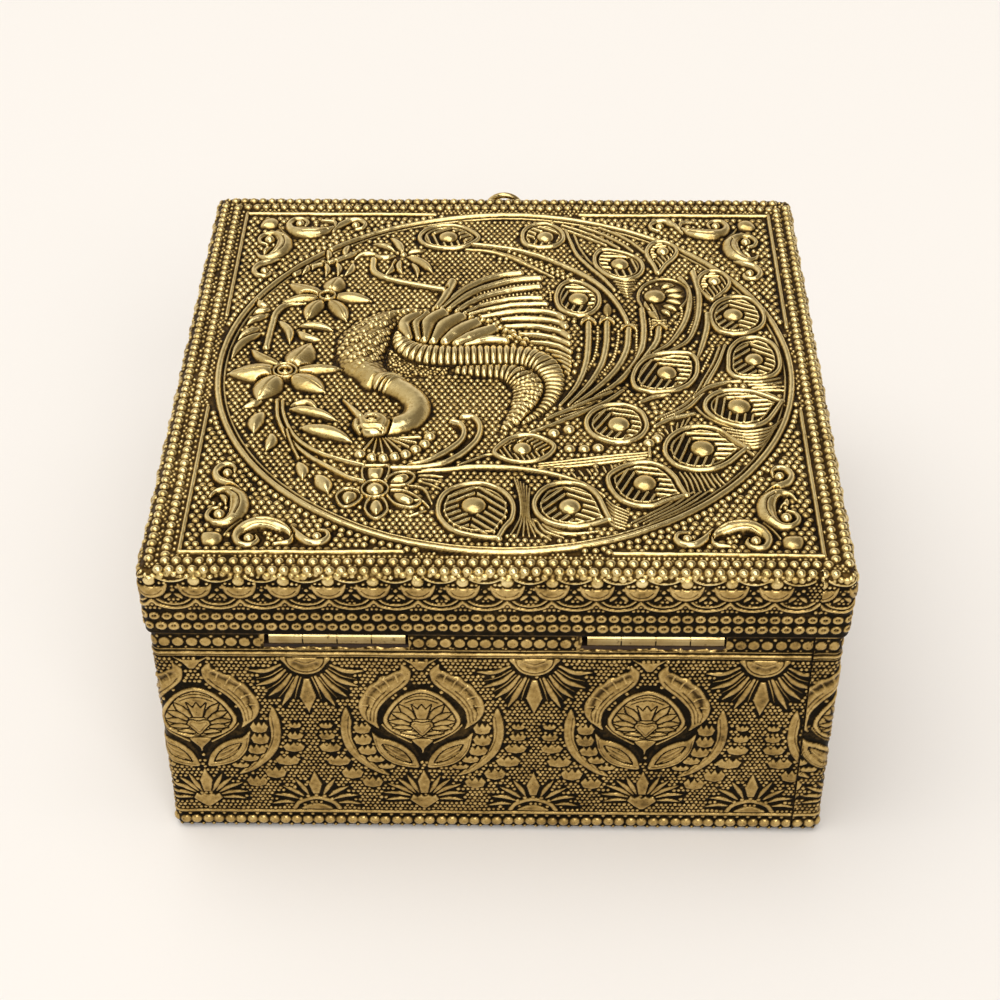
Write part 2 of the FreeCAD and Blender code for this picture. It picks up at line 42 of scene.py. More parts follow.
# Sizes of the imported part, in millimetres
LID_HALF = 76.2
LID_TOP = 80.2
LID_CORNER = 2.5
LID_EDGE = 2.0
BAND_LOW = 62.9
BAND_HIGH = 77.0
BODY_HALF = 75.2
BODY_CORNER = 2.0
BODY_LOW = 0.8
BODY_HIGH = 62.1
FOOT_LINE = 5.8
NOTCH_LOW = 57.5
SEAM_X = -68.85
HINGE_X = 34.4
NOTCH_LEFT = 15.45
NOTCH_RIGHT = 16.75
SHEET = 0.4
HEM_TOP = 5.0

# Sizes of the embossing
TOP_CELL = 0.18
RIM_CELL = 0.22
BACK_CELL = 0.18
SIDE_CELL = 0.3
TOP_SINK = 0.25
SIDE_SINK = 0.2
PRESSED = 0.12  # share of an older form's height that is left beside a newer one
FAR_OFF = 1e9


def flow(points, steps=6, closed=False):
    """A smooth line through given points."""
    p = np.array(points, float)
    if closed:
        p = np.vstack([p[-1:], p, p[:2]])
    else:
        p = np.vstack([2 * p[0] - p[1], p, 2 * p[-1] - p[-2]])
    t = np.linspace(0, 1, steps, endpoint=False)[:, None]
    out = []
    for i in range(1, len(p) - 2):
        a, b, c, d = p[i - 1], p[i], p[i + 1], p[i + 2]
        out.append(
            0.5 * (2 * b + (c - a) * t + (2 * a - 5 * b + 4 * c - d) * t**2
                   + (3 * b - a - 3 * c + d) * t**3)
        )
    out.append(p[-2:-1])
    return np.vstack(out)


def course(points, smooth):
    return flow(points) if smooth and len(points) > 2 else np.array(points, float)


def whole(s, half):
    """A figure's points from its right half: the mirrored left half first, then the right."""
    return [(s - a, z) for a, z in reversed(half) if a] + [(s + a, z) for a, z in half]


def smooth_step(low, high, x):
    t = np.clip((x - low) / (high - low), 0, 1)
    return t * t * (3 - 2 * t)


def box_blur(field, reach):
    """Mean over a square of 2 * reach + 1 cells, the edge cells repeated."""
    out = field
    for axis in (0, 1):
        wide = np.concatenate(
            [np.repeat(np.take(out, [0], axis), reach + 1, axis), out,
             np.repeat(np.take(out, [-1], axis), reach, axis)], axis
        )
        total = np.cumsum(wide, axis)
        size = out.shape[axis]
        span = 2 * reach + 1
        out = (np.take(total, range(span, span + size), axis)
               - np.take(total, range(size), axis)) / span
    return out


def mottle(x, y, size, seed):
    """A fixed smooth unevenness between -1 and 1, with spots of one size."""
    i = np.floor(x / size)
    j = np.floor(y / size)
    a = x / size - i
    b = y / size - j
    a = a * a * (3 - 2 * a)
    b = b * b * (3 - 2 * b)

    def value(p, q):
        wave = np.sin(p * 127.1 + q * 311.7 + seed * 17.3) * 4375.8
        return 2 * (wave - np.floor(wave)) - 1

    low = value(i, j) * (1 - a) + value(i + 1, j) * a
    high = value(i, j + 1) * (1 - a) + value(i + 1, j + 1) * a
    return low * (1 - b) + high * b


def dome(d, r, power):
    """Share of its height that a round form has at a distance d from its middle."""
    return np.maximum(0, 1 - (d / r) ** 2) ** power


def turned(x, y, turn):
    return x * math.cos(turn) + y * math.sin(turn), -x * math.sin(turn) + y * math.cos(turn)


class Relief:
    """A height map in millimetres over a plain rectangle, with the marks of where figures lie."""

    def __init__(self, left, right, low, high, cell):
        self.cell = cell
        self.a = np.linspace(left, right, int(round((right - left) / cell)) + 1)
        self.b = np.linspace(low, high, int(round((high - low) / cell)) + 1)
        self.height = np.zeros((len(self.b), len(self.a)))
        self.taken = np.zeros(self.height.shape, bool)

    def window(self, points, reach):
        low = points.min(0) - reach
        high = points.max(0) + reach
        c0, c1 = np.searchsorted(self.a, (low[0], high[0]))
        r0, r1 = np.searchsorted(self.b, (low[1], high[1]))
        return slice(r0, r1), slice(c0, c1)

    def grid(self, win, centre=(0, 0)):
        """Places across and up in a window, counted from a centre."""
        return self.a[win[1]][None, :] - centre[0], self.b[win[0]][:, None] - centre[1]

    def near(self, points, reach):
        """A window round a line, with the distance to it, the place along it in mm, and its length."""
        win = self.window(points, reach)
        x, y = self.grid(win)
        best = np.full((y.size, x.size), FAR_OFF)
        along = np.zeros(best.shape)
        run = 0.0
        for p, q in zip(points[:-1], points[1:]):
            d = q - p
            size = math.hypot(*d)
            if size < 1e-9:
                continue
            t = np.clip(((x - p[0]) * d[0] + (y - p[1]) * d[1]) / size**2, 0, 1)
            away = (x - p[0] - t * d[0]) ** 2 + (y - p[1] - t * d[1]) ** 2
            closer = away < best
            best = np.where(closer, away, best)
            along = np.where(closer, run + t * size, along)
            run += size
        return win, np.sqrt(best), along, max(run, 1e-9)

    def lay(self, win, form, d, r, moat, gap):
        """Joins a form that reaches to r; older forms within moat of it are pressed down first."""
        view = self.height[win]
        inside = d < r
        if moat is not None:
            view[(d < r + moat) & ~inside] *= PRESSED
            view[inside] = 0
        np.maximum(view, np.where(inside, form, 0), out=view)
        self.taken[win] |= d < r + gap

    def line(self, points, width, height, ends=None, moat=None, gap=0.3, smooth=True, ribs=None,
             power=0.7):
        """A raised round line; ends gives the share of the width from its start to its end."""
        p = course(points, smooth)
        wide = width / 2 * max(ends or (1,))
        win, d, along, run = self.near(p, wide + gap + (moat or 0) + 0.2)
        t = along / run
        r = np.full(d.shape, width / 2)
        if ends is not None:
            r = r * np.interp(t, np.linspace(0, 1, len(ends)), ends)
        r = np.maximum(r, 0.05)
        form = height * dome(d, r, power)
        if ends is not None:
            form = form * (r / (width / 2)) ** 0.5
        if ribs is not None:
            pitch, depth = ribs
            bar = np.abs(np.sin(np.pi * along / pitch))
            form = np.maximum(form - depth * (1 - bar) ** 1.5 * (form > 0.2), 0.1 * (form > 0))
        self.lay(win, form, d, r, moat, gap)

    def emboss(self, points, width, rise, smooth=True, floor=0.3):
        """Adds a line to forms that stand already, or cuts it in where rise is negative."""
        p = course(points, smooth)
        win, d, _, _ = self.near(p, width / 2 + 0.2)
        view = self.height[win]
        form = rise * dome(2 * d, width, 1)
        view += np.where(view > floor, form, 0)

    def leaf(self, start, end, width, height, bend=0.0, fat=1.0, moat=0.25, rib=0.0, gap=0.3, power=0.75):
        """A domed leaf or petal from start to end; bend bows it to its left."""
        s = np.array(start, float)
        e = np.array(end, float)
        way = e - s
        left = np.array([-way[1], way[0]])
        p = flow([s, (s + e) / 2 + left * bend, e], 10)
        win, d, along, run = self.near(p, width / 2 + gap + 0.6)
        t = along / run
        r = width / 2 * np.sin(np.pi * np.clip(t, 0.02, 0.98) ** fat) ** 0.7
        r = np.maximum(r, 0.12)
        form = height * dome(d, r, power) * (r / (width / 2)) ** 0.5
        if rib:
            form = form - rib * np.exp(-((d / 0.25) ** 2)) * (t > 0.08) * (t < 0.9)
        self.lay(win, form, d, r, moat, gap)

    def patch(self, points, height, edge, smooth=True, moat=0.25, gap=0.3, power=0.6, crease=None):
        """A filled outline, flat on top with an eased edge, or domed where edge is wide."""
        p = flow(points, 6, True) if smooth else np.array(list(points) + [points[0]], float)
        win, d, _, _ = self.near(p, gap + 0.6)
        x, y = self.grid(win)
        inside = np.zeros(d.shape, bool)
        for (x0, y0), (x1, y1) in zip(p[:-1], p[1:]):
            if y0 != y1:
                cross = x0 + (y - y0) * (x1 - x0) / (y1 - y0)
                inside ^= ((y0 > y) != (y1 > y)) & (x < cross)
        depth = np.clip(d / edge, 0, 1)
        form = height * (1 - (1 - depth) ** 2) ** power
        if crease is not None:
            inset, cut_depth = crease
            form = form - cut_depth * np.exp(-(((d - inset) / 0.2) ** 2))
        self.lay(win, form, np.where(inside, -1, d), 0, moat, gap)
        return win, inside, d

    def ball(self, centre, r, height, moat=0.15, gap=0.3, flat=0.65):
        """A round bead; a small flat gives it a broad top."""
        c = np.array([centre], float)
        win = self.window(c, r + gap + 0.3)
        d = np.hypot(*self.grid(win, centre))
        form = height * dome(d, r, flat)
        self.lay(win, form, d, r, moat, gap)

    def hoop(self, centre, r, width, height, moat=None, gap=0.3):
        """A raised ring."""
        c = np.array([centre], float)
        win = self.window(c, r + width + gap)
        d = np.abs(np.hypot(*self.grid(win, centre)) - r)
        form = height * dome(d, width / 2, 0.7)
        self.lay(win, form, d, width / 2, moat, gap)

    def weave(self, win, inside, pitch, depth, turn=0.0, share=1.0):
        """Small scales pressed into a form: a net of dots on its surface."""
        a, b = turned(*self.grid(win), turn)
        d, px, py = lattice(a, b, pitch, 0.2 * pitch)
        chip = depth * (0.8 + 0.45 * np.sin(53.1 * px + 91.7 * py))
        form = chip * (1 - np.clip(d / (0.58 * pitch), 0, 1) ** 2) - depth
        self.height[win] += np.where(inside & (self.height[win] > 0.25), form * share, 0)

    def hatch(self, win, inside, depth, centre, turn, pitch, height, inset=0.9):
        """Bars of an eye feather: a herringbone on the two sides of a line through its centre."""
        a, b = turned(*self.grid(win, centre), turn)
        q = (b + 0.75 * np.abs(a)) / pitch
        bar = np.maximum(0, np.cos(2 * np.pi * q)) ** 0.6 * height
        keep = inside & (depth > inset) & (np.abs(a) > 0.15)
        view = self.height[win]
        np.maximum(view, np.where(keep, bar, 0), out=view)

    def dots(self, pitch, r, height, where=None, jitter=0.0):
        """The dotted ground: small round dots wherever no figure lies."""
        x, y = np.meshgrid(self.a, self.b)
        d, px, py = lattice(x, y, pitch, jitter)
        c = np.clip(np.searchsorted(self.a, px), 0, len(self.a) - 1)
        w = np.clip(np.searchsorted(self.b, py), 0, len(self.b) - 1)
        free = ~self.taken[w, c]
        if where is not None:
            free &= where(px, py)
        size = r * (1 + 0.12 * np.sin(91.7 * px + 57.3 * py))
        tall = height * (1 + 0.18 * np.sin(37.1 * px - 83.9 * py))
        form = tall * dome(d, size, 0.65)
        np.maximum(self.height, np.where(free, form, 0), out=self.height)


def lattice(x, y, pitch, jitter=0.0):
    """Distance to the nearest point of a triangular net, and that point."""
    rise = pitch * 0.9
    best = np.full(np.shape(x), FAR_OFF)
    bx = np.zeros(best.shape)
    by = np.zeros(best.shape)
    base = np.round(y / rise)
    for step in (-1, 0, 1):
        row = base + step
        shift = np.where(np.mod(row, 2) == 0, 0, pitch / 2)
        col = np.round((x - shift) / pitch)
        px = col * pitch + shift + jitter * np.sin(12.9 * col + 7.7 * row)
        py = row * rise + jitter * np.cos(5.3 * col - 9.1 * row)
        d = np.hypot(x - px, y - py)
        closer = d < best
        best = np.where(closer, d, best)
        bx = np.where(closer, px, bx)
        by = np.where(closer, py, by)
    return best, bx, by


# Lid top. Places are in the photograph's sense: u to the right, v away from the camera.
TOP_EDGE = LID_HALF - LID_EDGE
top = Relief(-TOP_EDGE, TOP_EDGE, -TOP_EDGE, TOP_EDGE, TOP_CELL)
RING = (1.0, -1.0)
RING_R = 67.9
EDGE_ROWS = {"left": (73.7, 70.4), "right": (74.6, 71.9), "far": (73.9, 70.8), "near": (74.8, 72.0)}
EDGE_PITCH = 2.42
EDGE_BEAD = 1.18
EDGE_REACH = 72.5
RING_BEADS = 226
FRAME_WIDE = 1.15
FRAME_TALL = 0.65
FRAME_LEFT = -67.6
FRAME_RIGHT = 69.6
FRAME_FAR = 67.4
FRAME_NEAR = -69.3


def edge_places():
    """Centres of the beads along one side of the lid."""
    count = int(2 * EDGE_REACH / EDGE_PITCH)
    return [(i - count / 2) * EDGE_PITCH for i in range(count + 1)]


def draw_edges():
    """Bead rows along the four sides, the broken frame line, and the ring with its beads."""
    for along in edge_places():
        for side, rows in EDGE_ROWS.items():
            for k, inset in enumerate(rows):
                a = along + (EDGE_PITCH / 2 if k else 0)
                if abs(a) > inset:
                    continue
                place = {"left": (-inset, a), "right": (inset, a),
                         "far": (a, inset), "near": (a, -inset)}[side]
                top.ball(place, EDGE_BEAD + 0.07 * math.sin(3 * along + k), 0.85, moat=None)
    left, right, near, far = FRAME_LEFT, FRAME_RIGHT, FRAME_NEAR, FRAME_FAR
    for start, end in (
        ((left, near), (left, -18)), ((left, 20), (left, far)),
        ((right, near), (right, -18)), ((right, 16), (right, far)),
        ((left, near), (-20, near + 0.5)), ((25, near + 0.5), (right, near)),
        ((left, far), (-18, far)), ((20, far), (right, far)),
    ):
        top.line([start, end], FRAME_WIDE, FRAME_TALL, smooth=False)
    top.hoop(RING, RING_R, 1.75, 0.95, moat=0.3)
    top.hoop(RING, RING_R - 1.5, 0.6, 0.45)
    for i in range(RING_BEADS):
        angle = 2 * math.pi * i / RING_BEADS
        reach = RING_R + 1.95 + 0.1 * math.sin(5 * i)
        u = RING[0] + reach * math.cos(angle)
        v = RING[1] + reach * math.sin(angle)
        if left + 1 < u < right - 1 and near + 1 < v < far - 1:
            top.ball((u, v), 0.86, 0.7, moat=None)


def draw_corner(sx, sy, shift):
    """The scroll work of one corner: set for the near left one, mirrored for the others."""
    def at(*points):
        return [((u + 1) * sx + 1 + shift[0], (v + 1) * sy - 1 + shift[1]) for u, v in points]

    # upright scroll: a small volute, then a broad comma that curls in round a ball
    top.line(at((-61.2, -42.6), (-60.8, -40.9), (-62, -39.6), (-64, -40.2), (-64.9, -42.4),
                (-63.9, -44.9), (-61.2, -46.6), (-58.8, -48.8)), 2.0, 1.3,
             (0.45, 0.7, 1, 1.05, 1.1, 0.8), moat=0.2)
    top.line(at((-65.2, -50.8), (-63.9, -48.9), (-61.5, -48.5), (-59.4, -50.4), (-58.4, -53.4),
                (-58.6, -56.8), (-60.6, -59.4), (-63.2, -59.7), (-65, -57.7), (-64.6, -55.5),
                (-62.9, -54.6)),
             4.6, 1.7, (0.16, 0.34, 0.68, 1, 1.05, 0.95, 0.7, 0.45, 0.36, 0.3, 0.22), moat=0.2)
    top.emboss(at((-63.4, -49.6), (-61.4, -50), (-60.3, -52.6), (-60.2, -55.4), (-61, -57.8),
                  (-62.8, -59)), 0.7, 0.35)
    top.emboss(at((-60.6, -49.4), (-58.8, -51.6), (-58.3, -54.6), (-59, -57.4)), 0.6, -0.35)
    top.leaf(*at((-63.2, -50.2), (-61.4, -53.4)), 1.8, 1.0, 0.15)
    top.ball(at((-62.4, -56.9))[0], 1.5, 1.4)
    top.ball(at((-62.3, -42.4))[0], 1.3, 1.2)
    for place in at((-64.2, -52.9), (-62.6, -53.4), (-61.2, -54.6)):
        top.ball(place, 0.6, 0.7)
    # lying scroll
    top.line(at((-46.4, -61.4), (-44.6, -64), (-42.2, -66.2), (-39.8, -66.3), (-38.2, -64.6),
                (-38.7, -62.7), (-40.5, -62)), 2.0, 1.3, (0.7, 1, 1.1, 1.05, 0.9, 0.7, 0.4), moat=0.2)
    top.line(at((-45.8, -64), (-47.6, -61.8), (-50.6, -60.2), (-53.8, -59.9), (-56.8, -61.5),
                (-58, -64.2), (-57, -66.6), (-54.8, -67), (-53.3, -65.6), (-53.8, -64)), 4.6, 1.7,
             (0.16, 0.5, 0.9, 1.05, 0.9, 0.62, 0.45, 0.38, 0.3, 0.22), moat=0.2)
    top.emboss(at((-48.4, -62.8), (-51, -61.7), (-54, -61.4), (-56.2, -63), (-56.6, -65)), 0.7, 0.35)
    top.emboss(at((-47.8, -61.2), (-50.8, -59.8), (-54, -59.6)), 0.6, -0.35)
    top.line(at((-45.8, -63.6), (-46.4, -65.9), (-49.6, -66.6)), 1.5, 0.9, (0.5, 1.1, 0.6), moat=0.15)
    top.ball(at((-55.2, -64.7))[0], 1.35, 1.3)
    top.ball(at((-40.6, -64.2))[0], 1.25, 1.2)
    for place in at((-51.8, -63), (-51, -64.6), (-49.4, -64)):
        top.ball(place, 0.6, 0.7)
    # cushion in the corner itself
    top.patch(at((-65.6, -63.5), (-63.4, -62.6), (-61.1, -63.5), (-60.9, -66), (-62.6, -67.5),
                 (-65, -66.6)), 1.3, 2.2)
    top.line(at((-57.4, -58.6), (-59.4, -61.2), (-60.6, -63.6)), 0.6, 0.5)


def eye_feather(points, disc, r, turn, pitch=2.2, double=True, tip=0.0):
    """An eye feather: outline, herringbone bars and a raised eye; tip draws its first point out."""
    if tip:
        middle = np.array(disc, float)
        sharp = tuple(middle + (np.array(points[0]) - middle) * (1 + tip))
        points = [sharp, sharp] + list(points[1:])
    win, inside, depth = top.patch(points, 0.02, 0.5, moat=0.3)
    top.hatch(win, inside, depth, disc, turn, pitch, 0.78, 1.2 if double else 0.9)
    p = flow(points, 6, True)
    top.line(p, 1.5, 1.0, smooth=False)
    if double:
        ring = np.array(disc) + (p - np.array(disc)) * 0.81
        top.line(ring, 0.6, 0.6, smooth=False)
    top.ball(disc, r, 1.35, moat=0.45, flat=0.5)


def strands(first, last, count, width, height, ends=(0.6, 1, 0.5)):
    """A sheaf of lines laid evenly between a first and a last one."""
    a = np.array(first, float)
    b = np.array(last, float)
    for i in range(count):
        t = i / max(1, count - 1)
        top.line(a + (b - a) * t, 1.15 * width, 1.35 * height, ends)


def bead_trail(points, pitch, r, height):
    """A row of small beads along a line."""
    p = flow(points, 8)
    run = np.concatenate([[0], np.cumsum(np.hypot(*np.diff(p, axis=0).T))])
    for s in np.arange(pitch / 2, run[-1], pitch):
        top.ball((np.interp(s, run, p[:, 0]), np.interp(s, run, p[:, 1])), r, height, moat=None, gap=0.2)


def draw_tail():
    """The peacock's train: rods, strands and eye feathers."""
    # long rods from the tail's root
    rods = [
        [(14, -16.5), (18, -9), (20.3, 0), (21.1, 9), (21.3, 16.8)],
        [(16, -16.2), (20.5, -9), (23.8, -1), (25.4, 8), (25.8, 17)],
        [(17, -16.6), (23, -9.5), (27.6, -2), (30.2, 6), (31, 14.3)],
        [(18.5, -16.8), (26.5, -9), (31.2, -1.5), (33.8, 6), (34.7, 14), (34.6, 23)],
        [(31.4, -2.8), (35, 3.6), (37.6, 9.5), (38.4, 14.8)],
        [(36.5, 4.5), (41, 9), (44.6, 17), (46.4, 25), (46.4, 32), (44.8, 37)],
        [(40, 5), (45, 9.5), (47.6, 17), (48.8, 25), (49, 32), (48.2, 40)],
        [(46.8, 1.5), (48.8, 9), (50.2, 16), (50.6, 21)],
    ]
    for rod in rods:
        top.line(rod, 2.0, 1.1, (0.45, 0.9, 1, 1), moat=0.2)
    sides = [
        [(36, -21.6), (41, -18.2), (45.2, -13.2), (47.8, -7), (50.4, -0.5), (52.6, 7)],
        [(37.5, -21.9), (43, -17.8), (46.6, -12.6), (49.2, -6), (51.8, 0.5), (54, 8)],
        [(45.2, -13.2), (48.5, -9.4), (53, -7.2), (56.5, -6.6)],
        [(35.6, -24.4), (39.5, -21.6), (45, -19.6)],
        [(7, -27), (12, -24), (18, -20), (24, -15.8), (28.8, -10.6)],
        [(10.5, -22), (15, -18.8), (20.5, -15), (26, -11.2)],
        [(32.5, -15.4), (36, -13.2), (39.5, -12.2)],
    ]
    for rod in sides:
        top.line(rod, 1.5, 0.9, (0.7, 1, 0.8), moat=0.15)
    for cap in ((21.3, 17.6), (25.8, 17.8), (31, 15.2), (38.5, 15.6)):
        u, v = cap
        top.line([(u - 1.7, v - 0.7), (u, v + 0.9), (u + 1.7, v - 0.7)], 0.9, 1.15, moat=0.15)
        top.line([(u - 1.5, v + 1), (u, v + 2.4), (u + 1.5, v + 1)], 0.6, 0.6)
    top.leaf((26, 19.8), (26.2, 26), 2.6, 0.8)
    # beads between the rods
    bead_trail([(19, -6), (22.2, 2), (23.3, 9), (23.6, 16)], 1.2, 0.56, 0.65)
    bead_trail([(22, -7), (26.5, 1), (28.2, 9), (28.6, 14)], 1.2, 0.56, 0.65)
    bead_trail([(27.5, -7), (32, 2), (32.8, 10), (33, 16)], 1.2, 0.52, 0.6)
    bead_trail([(36.5, 12), (36.4, 18), (36.2, 22)], 1.1, 0.5, 0.6)
    bead_trail([(41.5, 13), (44.2, 20), (44.4, 25)], 1.2, 0.52, 0.6)
    bead_trail([(45.4, 13), (47.6, 21), (47.8, 29)], 1.1, 0.5, 0.6)
    bead_trail([(47.6, -3), (49.4, 2), (51.4, 7.6)], 1.2, 0.5, 0.6)
    # the outer sweep over the wing
    top.line([(-7.5, 52.3), (-3, 51.4), (4, 49.6), (10, 46.6), (16, 42.2), (20.5, 38.4), (24, 34.2),
              (26.8, 29.4), (28.8, 24.6), (30.2, 20), (30.8, 17)], 1.6, 1.1, moat=0.2)
    top.line([(-9.5, 50.2), (-4, 49.4), (2, 46.6), (7, 42.6), (13, 37.6)], 2.2, 0.9, (0.4, 1, 0.35))
    top.line([(16.2, 59.5), (17.4, 54), (19, 48), (22, 42.4), (25.4, 37), (28, 31.8)], 1.25, 0.85)
    top.line([(18.4, 58), (19.6, 52), (21.6, 46.4), (24, 41.6)], 0.8, 0.5)
    strands([(10.5, 62.6), (17, 59.3), (22.5, 55.6), (26.5, 52.6)],
            [(25, 61.2), (30, 57.4), (34, 53), (36.6, 48.6)], 4, 0.8, 0.55, (1, 1, 1))
    bead_trail([(15, 62.6), (22, 58.2), (28, 54)], 1.35, 0.6, 0.65)
    bead_trail([(21, 62), (28, 57.2), (33, 52.4)], 1.35, 0.6, 0.65)
    bead_trail([(-1.5, 46), (5, 45.5), (11, 41.2), (17, 36.4)], 1.7, 0.72, 0.7)
    bead_trail([(1, 50), (8, 44.8), (14, 40.4), (18.6, 36.2)], 1.7, 0.72, 0.7)
    # eye feathers along the ring, from the far left round to the near side
    eye_feather([(-21.6, 56), (-20.5, 59), (-18, 61), (-14.5, 61.8), (-11, 61), (-8.4, 59), (-6.4, 56),
                 (-8, 53), (-10.5, 51.2), (-14, 50.4), (-18, 51.1), (-20.7, 53)],
                (-14.2, 56.1), 2.5, 1.2)
    eye_feather([(5, 57), (5.3, 53.8), (7, 51.8), (10, 51.2), (13.4, 52), (15.4, 54.6), (15.4, 58),
                 (13.6, 61), (10.6, 62.6), (7.4, 61.6), (5.6, 59.6)],
                (10.9, 56.2), 2.3, -1.2)
    eye_feather([(23.4, 45), (24, 42), (25.6, 39.4), (28.4, 37), (31.6, 36.6), (34.4, 38.6), (35.6, 42),
                 (34.8, 45.6), (32.2, 48), (28.8, 49.6), (25.4, 50.2), (23.8, 48)],
                (29.8, 43.6), 2.4, -0.7)
    strands([(27.6, 37.2), (30.5, 36), (33.8, 36.6)],
            [(30.4, 29.4), (31.2, 28.8), (32.2, 29.4)], 7, 0.6, 0.5)
    eye_feather([(36.9, 50), (37.2, 46.6), (38.4, 43), (39.4, 39.6), (41.4, 43.4), (43.6, 46.6),
                 (44.6, 49.6), (43.6, 52.6), (41, 54.3), (38.4, 53.4)],
                (41, 49.7), 1.7, -0.5, 1.5, False)
    eye_feather([(13.5, 27.4), (14.2, 24), (16, 21.6), (18.6, 20.3), (21.2, 20.7), (23.2, 22.8),
                 (24.2, 26), (24, 29.6), (22.4, 32.4), (20, 34.8), (17.2, 35.8), (15, 34),
                 (13.8, 30.8)],
                (19, 27.6), 2.6, 0.6)
    leaf_eye()
    eye_feather([(49, 35.4), (49.3, 32), (50.6, 29.6), (52.2, 27.6), (54.6, 30.2), (56.6, 33.4),
                 (57, 36.8), (55.4, 39.8), (52.6, 40.6), (50.2, 38.8)],
                (53.3, 35.9), 1.7, -0.6, 1.5, False)
    eye_feather([(51.3, 20), (51.8, 16.6), (53.4, 13.8), (56.6, 12.8), (60, 13.4), (63, 15.6),
                 (64.4, 19), (64.2, 23), (62.6, 26.8), (59.8, 28.8), (56.4, 28.4), (53.6, 26.4),
                 (51.9, 23.4)],
                (56.9, 21.1), 2.5, 0.2)
    eye_feather([(54.3, 1), (54.2, -2.4), (55.6, -4.8), (58.4, -5.4), (61.6, -5.3), (64.4, -4.2),
                 (66.2, -1.4), (66.6, 2.4), (66.2, 6.4), (64.6, 9.6), (61.4, 11.2), (58, 10.4),
                 (55.6, 7.4), (54.6, 4.2)],
                (60.5, 2.2), 2.3, 0.1)
    eye_feather([(46.8, -1), (46.7, 1.8), (45.4, 4.2), (42, 4.7), (38, 4.1), (35, 2.5), (33, 0),
                 (31.8, -3), (31.2, -6.4), (32, -9.6), (34.6, -11.1), (38, -11.2), (41.6, -10.2),
                 (44.4, -8), (46.2, -4.6)],
                (39.4, -3.5), 2.5, 0.5)
    eye_feather([(64.1, -15), (62.2, -12.5), (59, -10.8), (55, -10.2), (51.5, -10.9), (49, -12.9),
                 (47.7, -15.6), (47.9, -18.6), (49.5, -21.2), (52.2, -23.2), (55.4, -24.2),
                 (58.6, -23.9), (61.4, -22.2), (63.4, -19)],
                (55.5, -16.5), 2.8, 0.75, tip=0.16)
    eye_feather([(54.6, -32.4), (52.7, -28.6), (50.6, -26.1), (48, -24.8), (45, -24.6), (42, -25.6),
                 (39.6, -27.6), (38.1, -30.2), (37.5, -33.2), (38.1, -36.2), (39.7, -38.6), (42.2, -40),
                 (45.2, -40.4), (48.4, -39.8), (51.4, -37.8), (53.8, -35)],
                (46, -32.5), 2.8, 0.6, tip=0.16)
    eye_feather([(33.6, -22), (32.6, -19), (30.4, -17.1), (27.4, -16.3), (24.2, -17), (21.6, -18.9),
                 (20.2, -21.6), (20.1, -24.6), (21.2, -27.4), (23.6, -29.5), (26.8, -30.5), (30, -29.9),
                 (32.4, -28), (33.7, -25)],
                (27.4, -23.6), 2.6, 0.4)
    eye_feather([(40, -48.6), (37, -51.4), (33.6, -53), (30, -52.8), (26.9, -50.8), (25, -47.2),
                 (24.5, -43), (26.8, -40.2), (30, -38.3), (33.4, -37.8), (36.8, -39.4), (39.2, -42.8),
                 (40.2, -46)],
                (32.5, -45), 2.7, 0.5, tip=0.18)
    eye_feather([(23, -57), (20.4, -59.5), (16.6, -60.3), (12.4, -59.5), (9.2, -56.9), (8, -52.6),
                 (9.6, -48.2), (12.6, -45.8), (16.2, -45.3), (19.6, -46.6), (22, -49.8), (23.2, -53.6)],
                (15.8, -53.3), 2.5, 0.2, tip=0.18)
    eye_feather([(-0.5, -62.8), (-5, -63.6), (-9.6, -61.6), (-12.4, -57.6), (-12.9, -53),
                 (-11.4, -48.9), (-7.4, -46.2), (-3.2, -45.8), (1, -48.2), (3.3, -52.6), (3.2, -57.6),
                 (1.6, -60.8)],
                (-5.2, -53.2), 2.8, -0.1, tip=0.16)
    eye_feather([(-1, -34.4), (1.2, -30.6), (4.6, -28.2), (8.6, -28.5), (12.5, -32), (10.4, -36.2),
                 (6.2, -38), (2.2, -37.2)],
                (5.3, -32.9), 2.2, 1.35, 1.5, False)
    # fringes between the eyes
    strands([(51, -24.6), (56, -26), (62, -24.6), (65.6, -20.6)],
            [(56, -31.6), (57.6, -32), (59.4, -31.4), (60.4, -30)], 6, 0.75, 0.55)
    top.line([(49.8, -26.3), (53.6, -30.6), (57.4, -34.6)], 0.9, 0.6)
    top.line([(45.6, -16.8), (47, -19.6), (49.6, -22.4), (53.4, -24.8)], 0.8, 0.55)
    strands([(57.4, -6.5), (61, -6.7), (66, -5)], [(60, -10.2), (63.4, -10), (66.9, -10)], 4, 0.75, 0.5)
    top.ball((57.2, -8.3), 1.0, 0.7)
    strands([(62, -10.6), (64.6, -13), (66.4, -16.4)],
            [(59.4, -10.4), (62.6, -12.4), (65.2, -15.8)], 2, 0.6, 0.5)
    strands([(40.4, -41), (41.6, -44.6), (42.2, -48.6)],
            [(48.6, -41.6), (49.2, -43.6), (50.4, -45.4)], 8, 0.7, 0.5)
    strands([(41.4, -48), (36, -53.6), (29, -58.6)],
            [(46.4, -47.6), (40.6, -53.4), (33, -58.8)], 4, 0.75, 0.5)
    strands([(23.8, -50.4), (25.4, -53), (28.8, -55)],
            [(24.2, -58.4), (25.6, -60), (27.6, -60.6)], 7, 0.7, 0.5)
    strands([(3.6, -43.4), (4.8, -50), (5, -57), (3, -63)],
            [(7, -47), (6.8, -53), (7.2, -58.4), (9.6, -63.4)], 6, 0.7, 0.55)
    strands([(7.6, -57.6), (8.6, -61.6), (11.6, -64.6)],
            [(12, -61), (16, -62.6), (22.6, -61.4)], 5, 0.75, 0.5)
    strands([(17.6, -16.6), (21.4, -15.4), (24.4, -13)],
            [(14, -20.6), (18.6, -18.4), (20.6, -16.6)], 3, 0.5, 0.4)
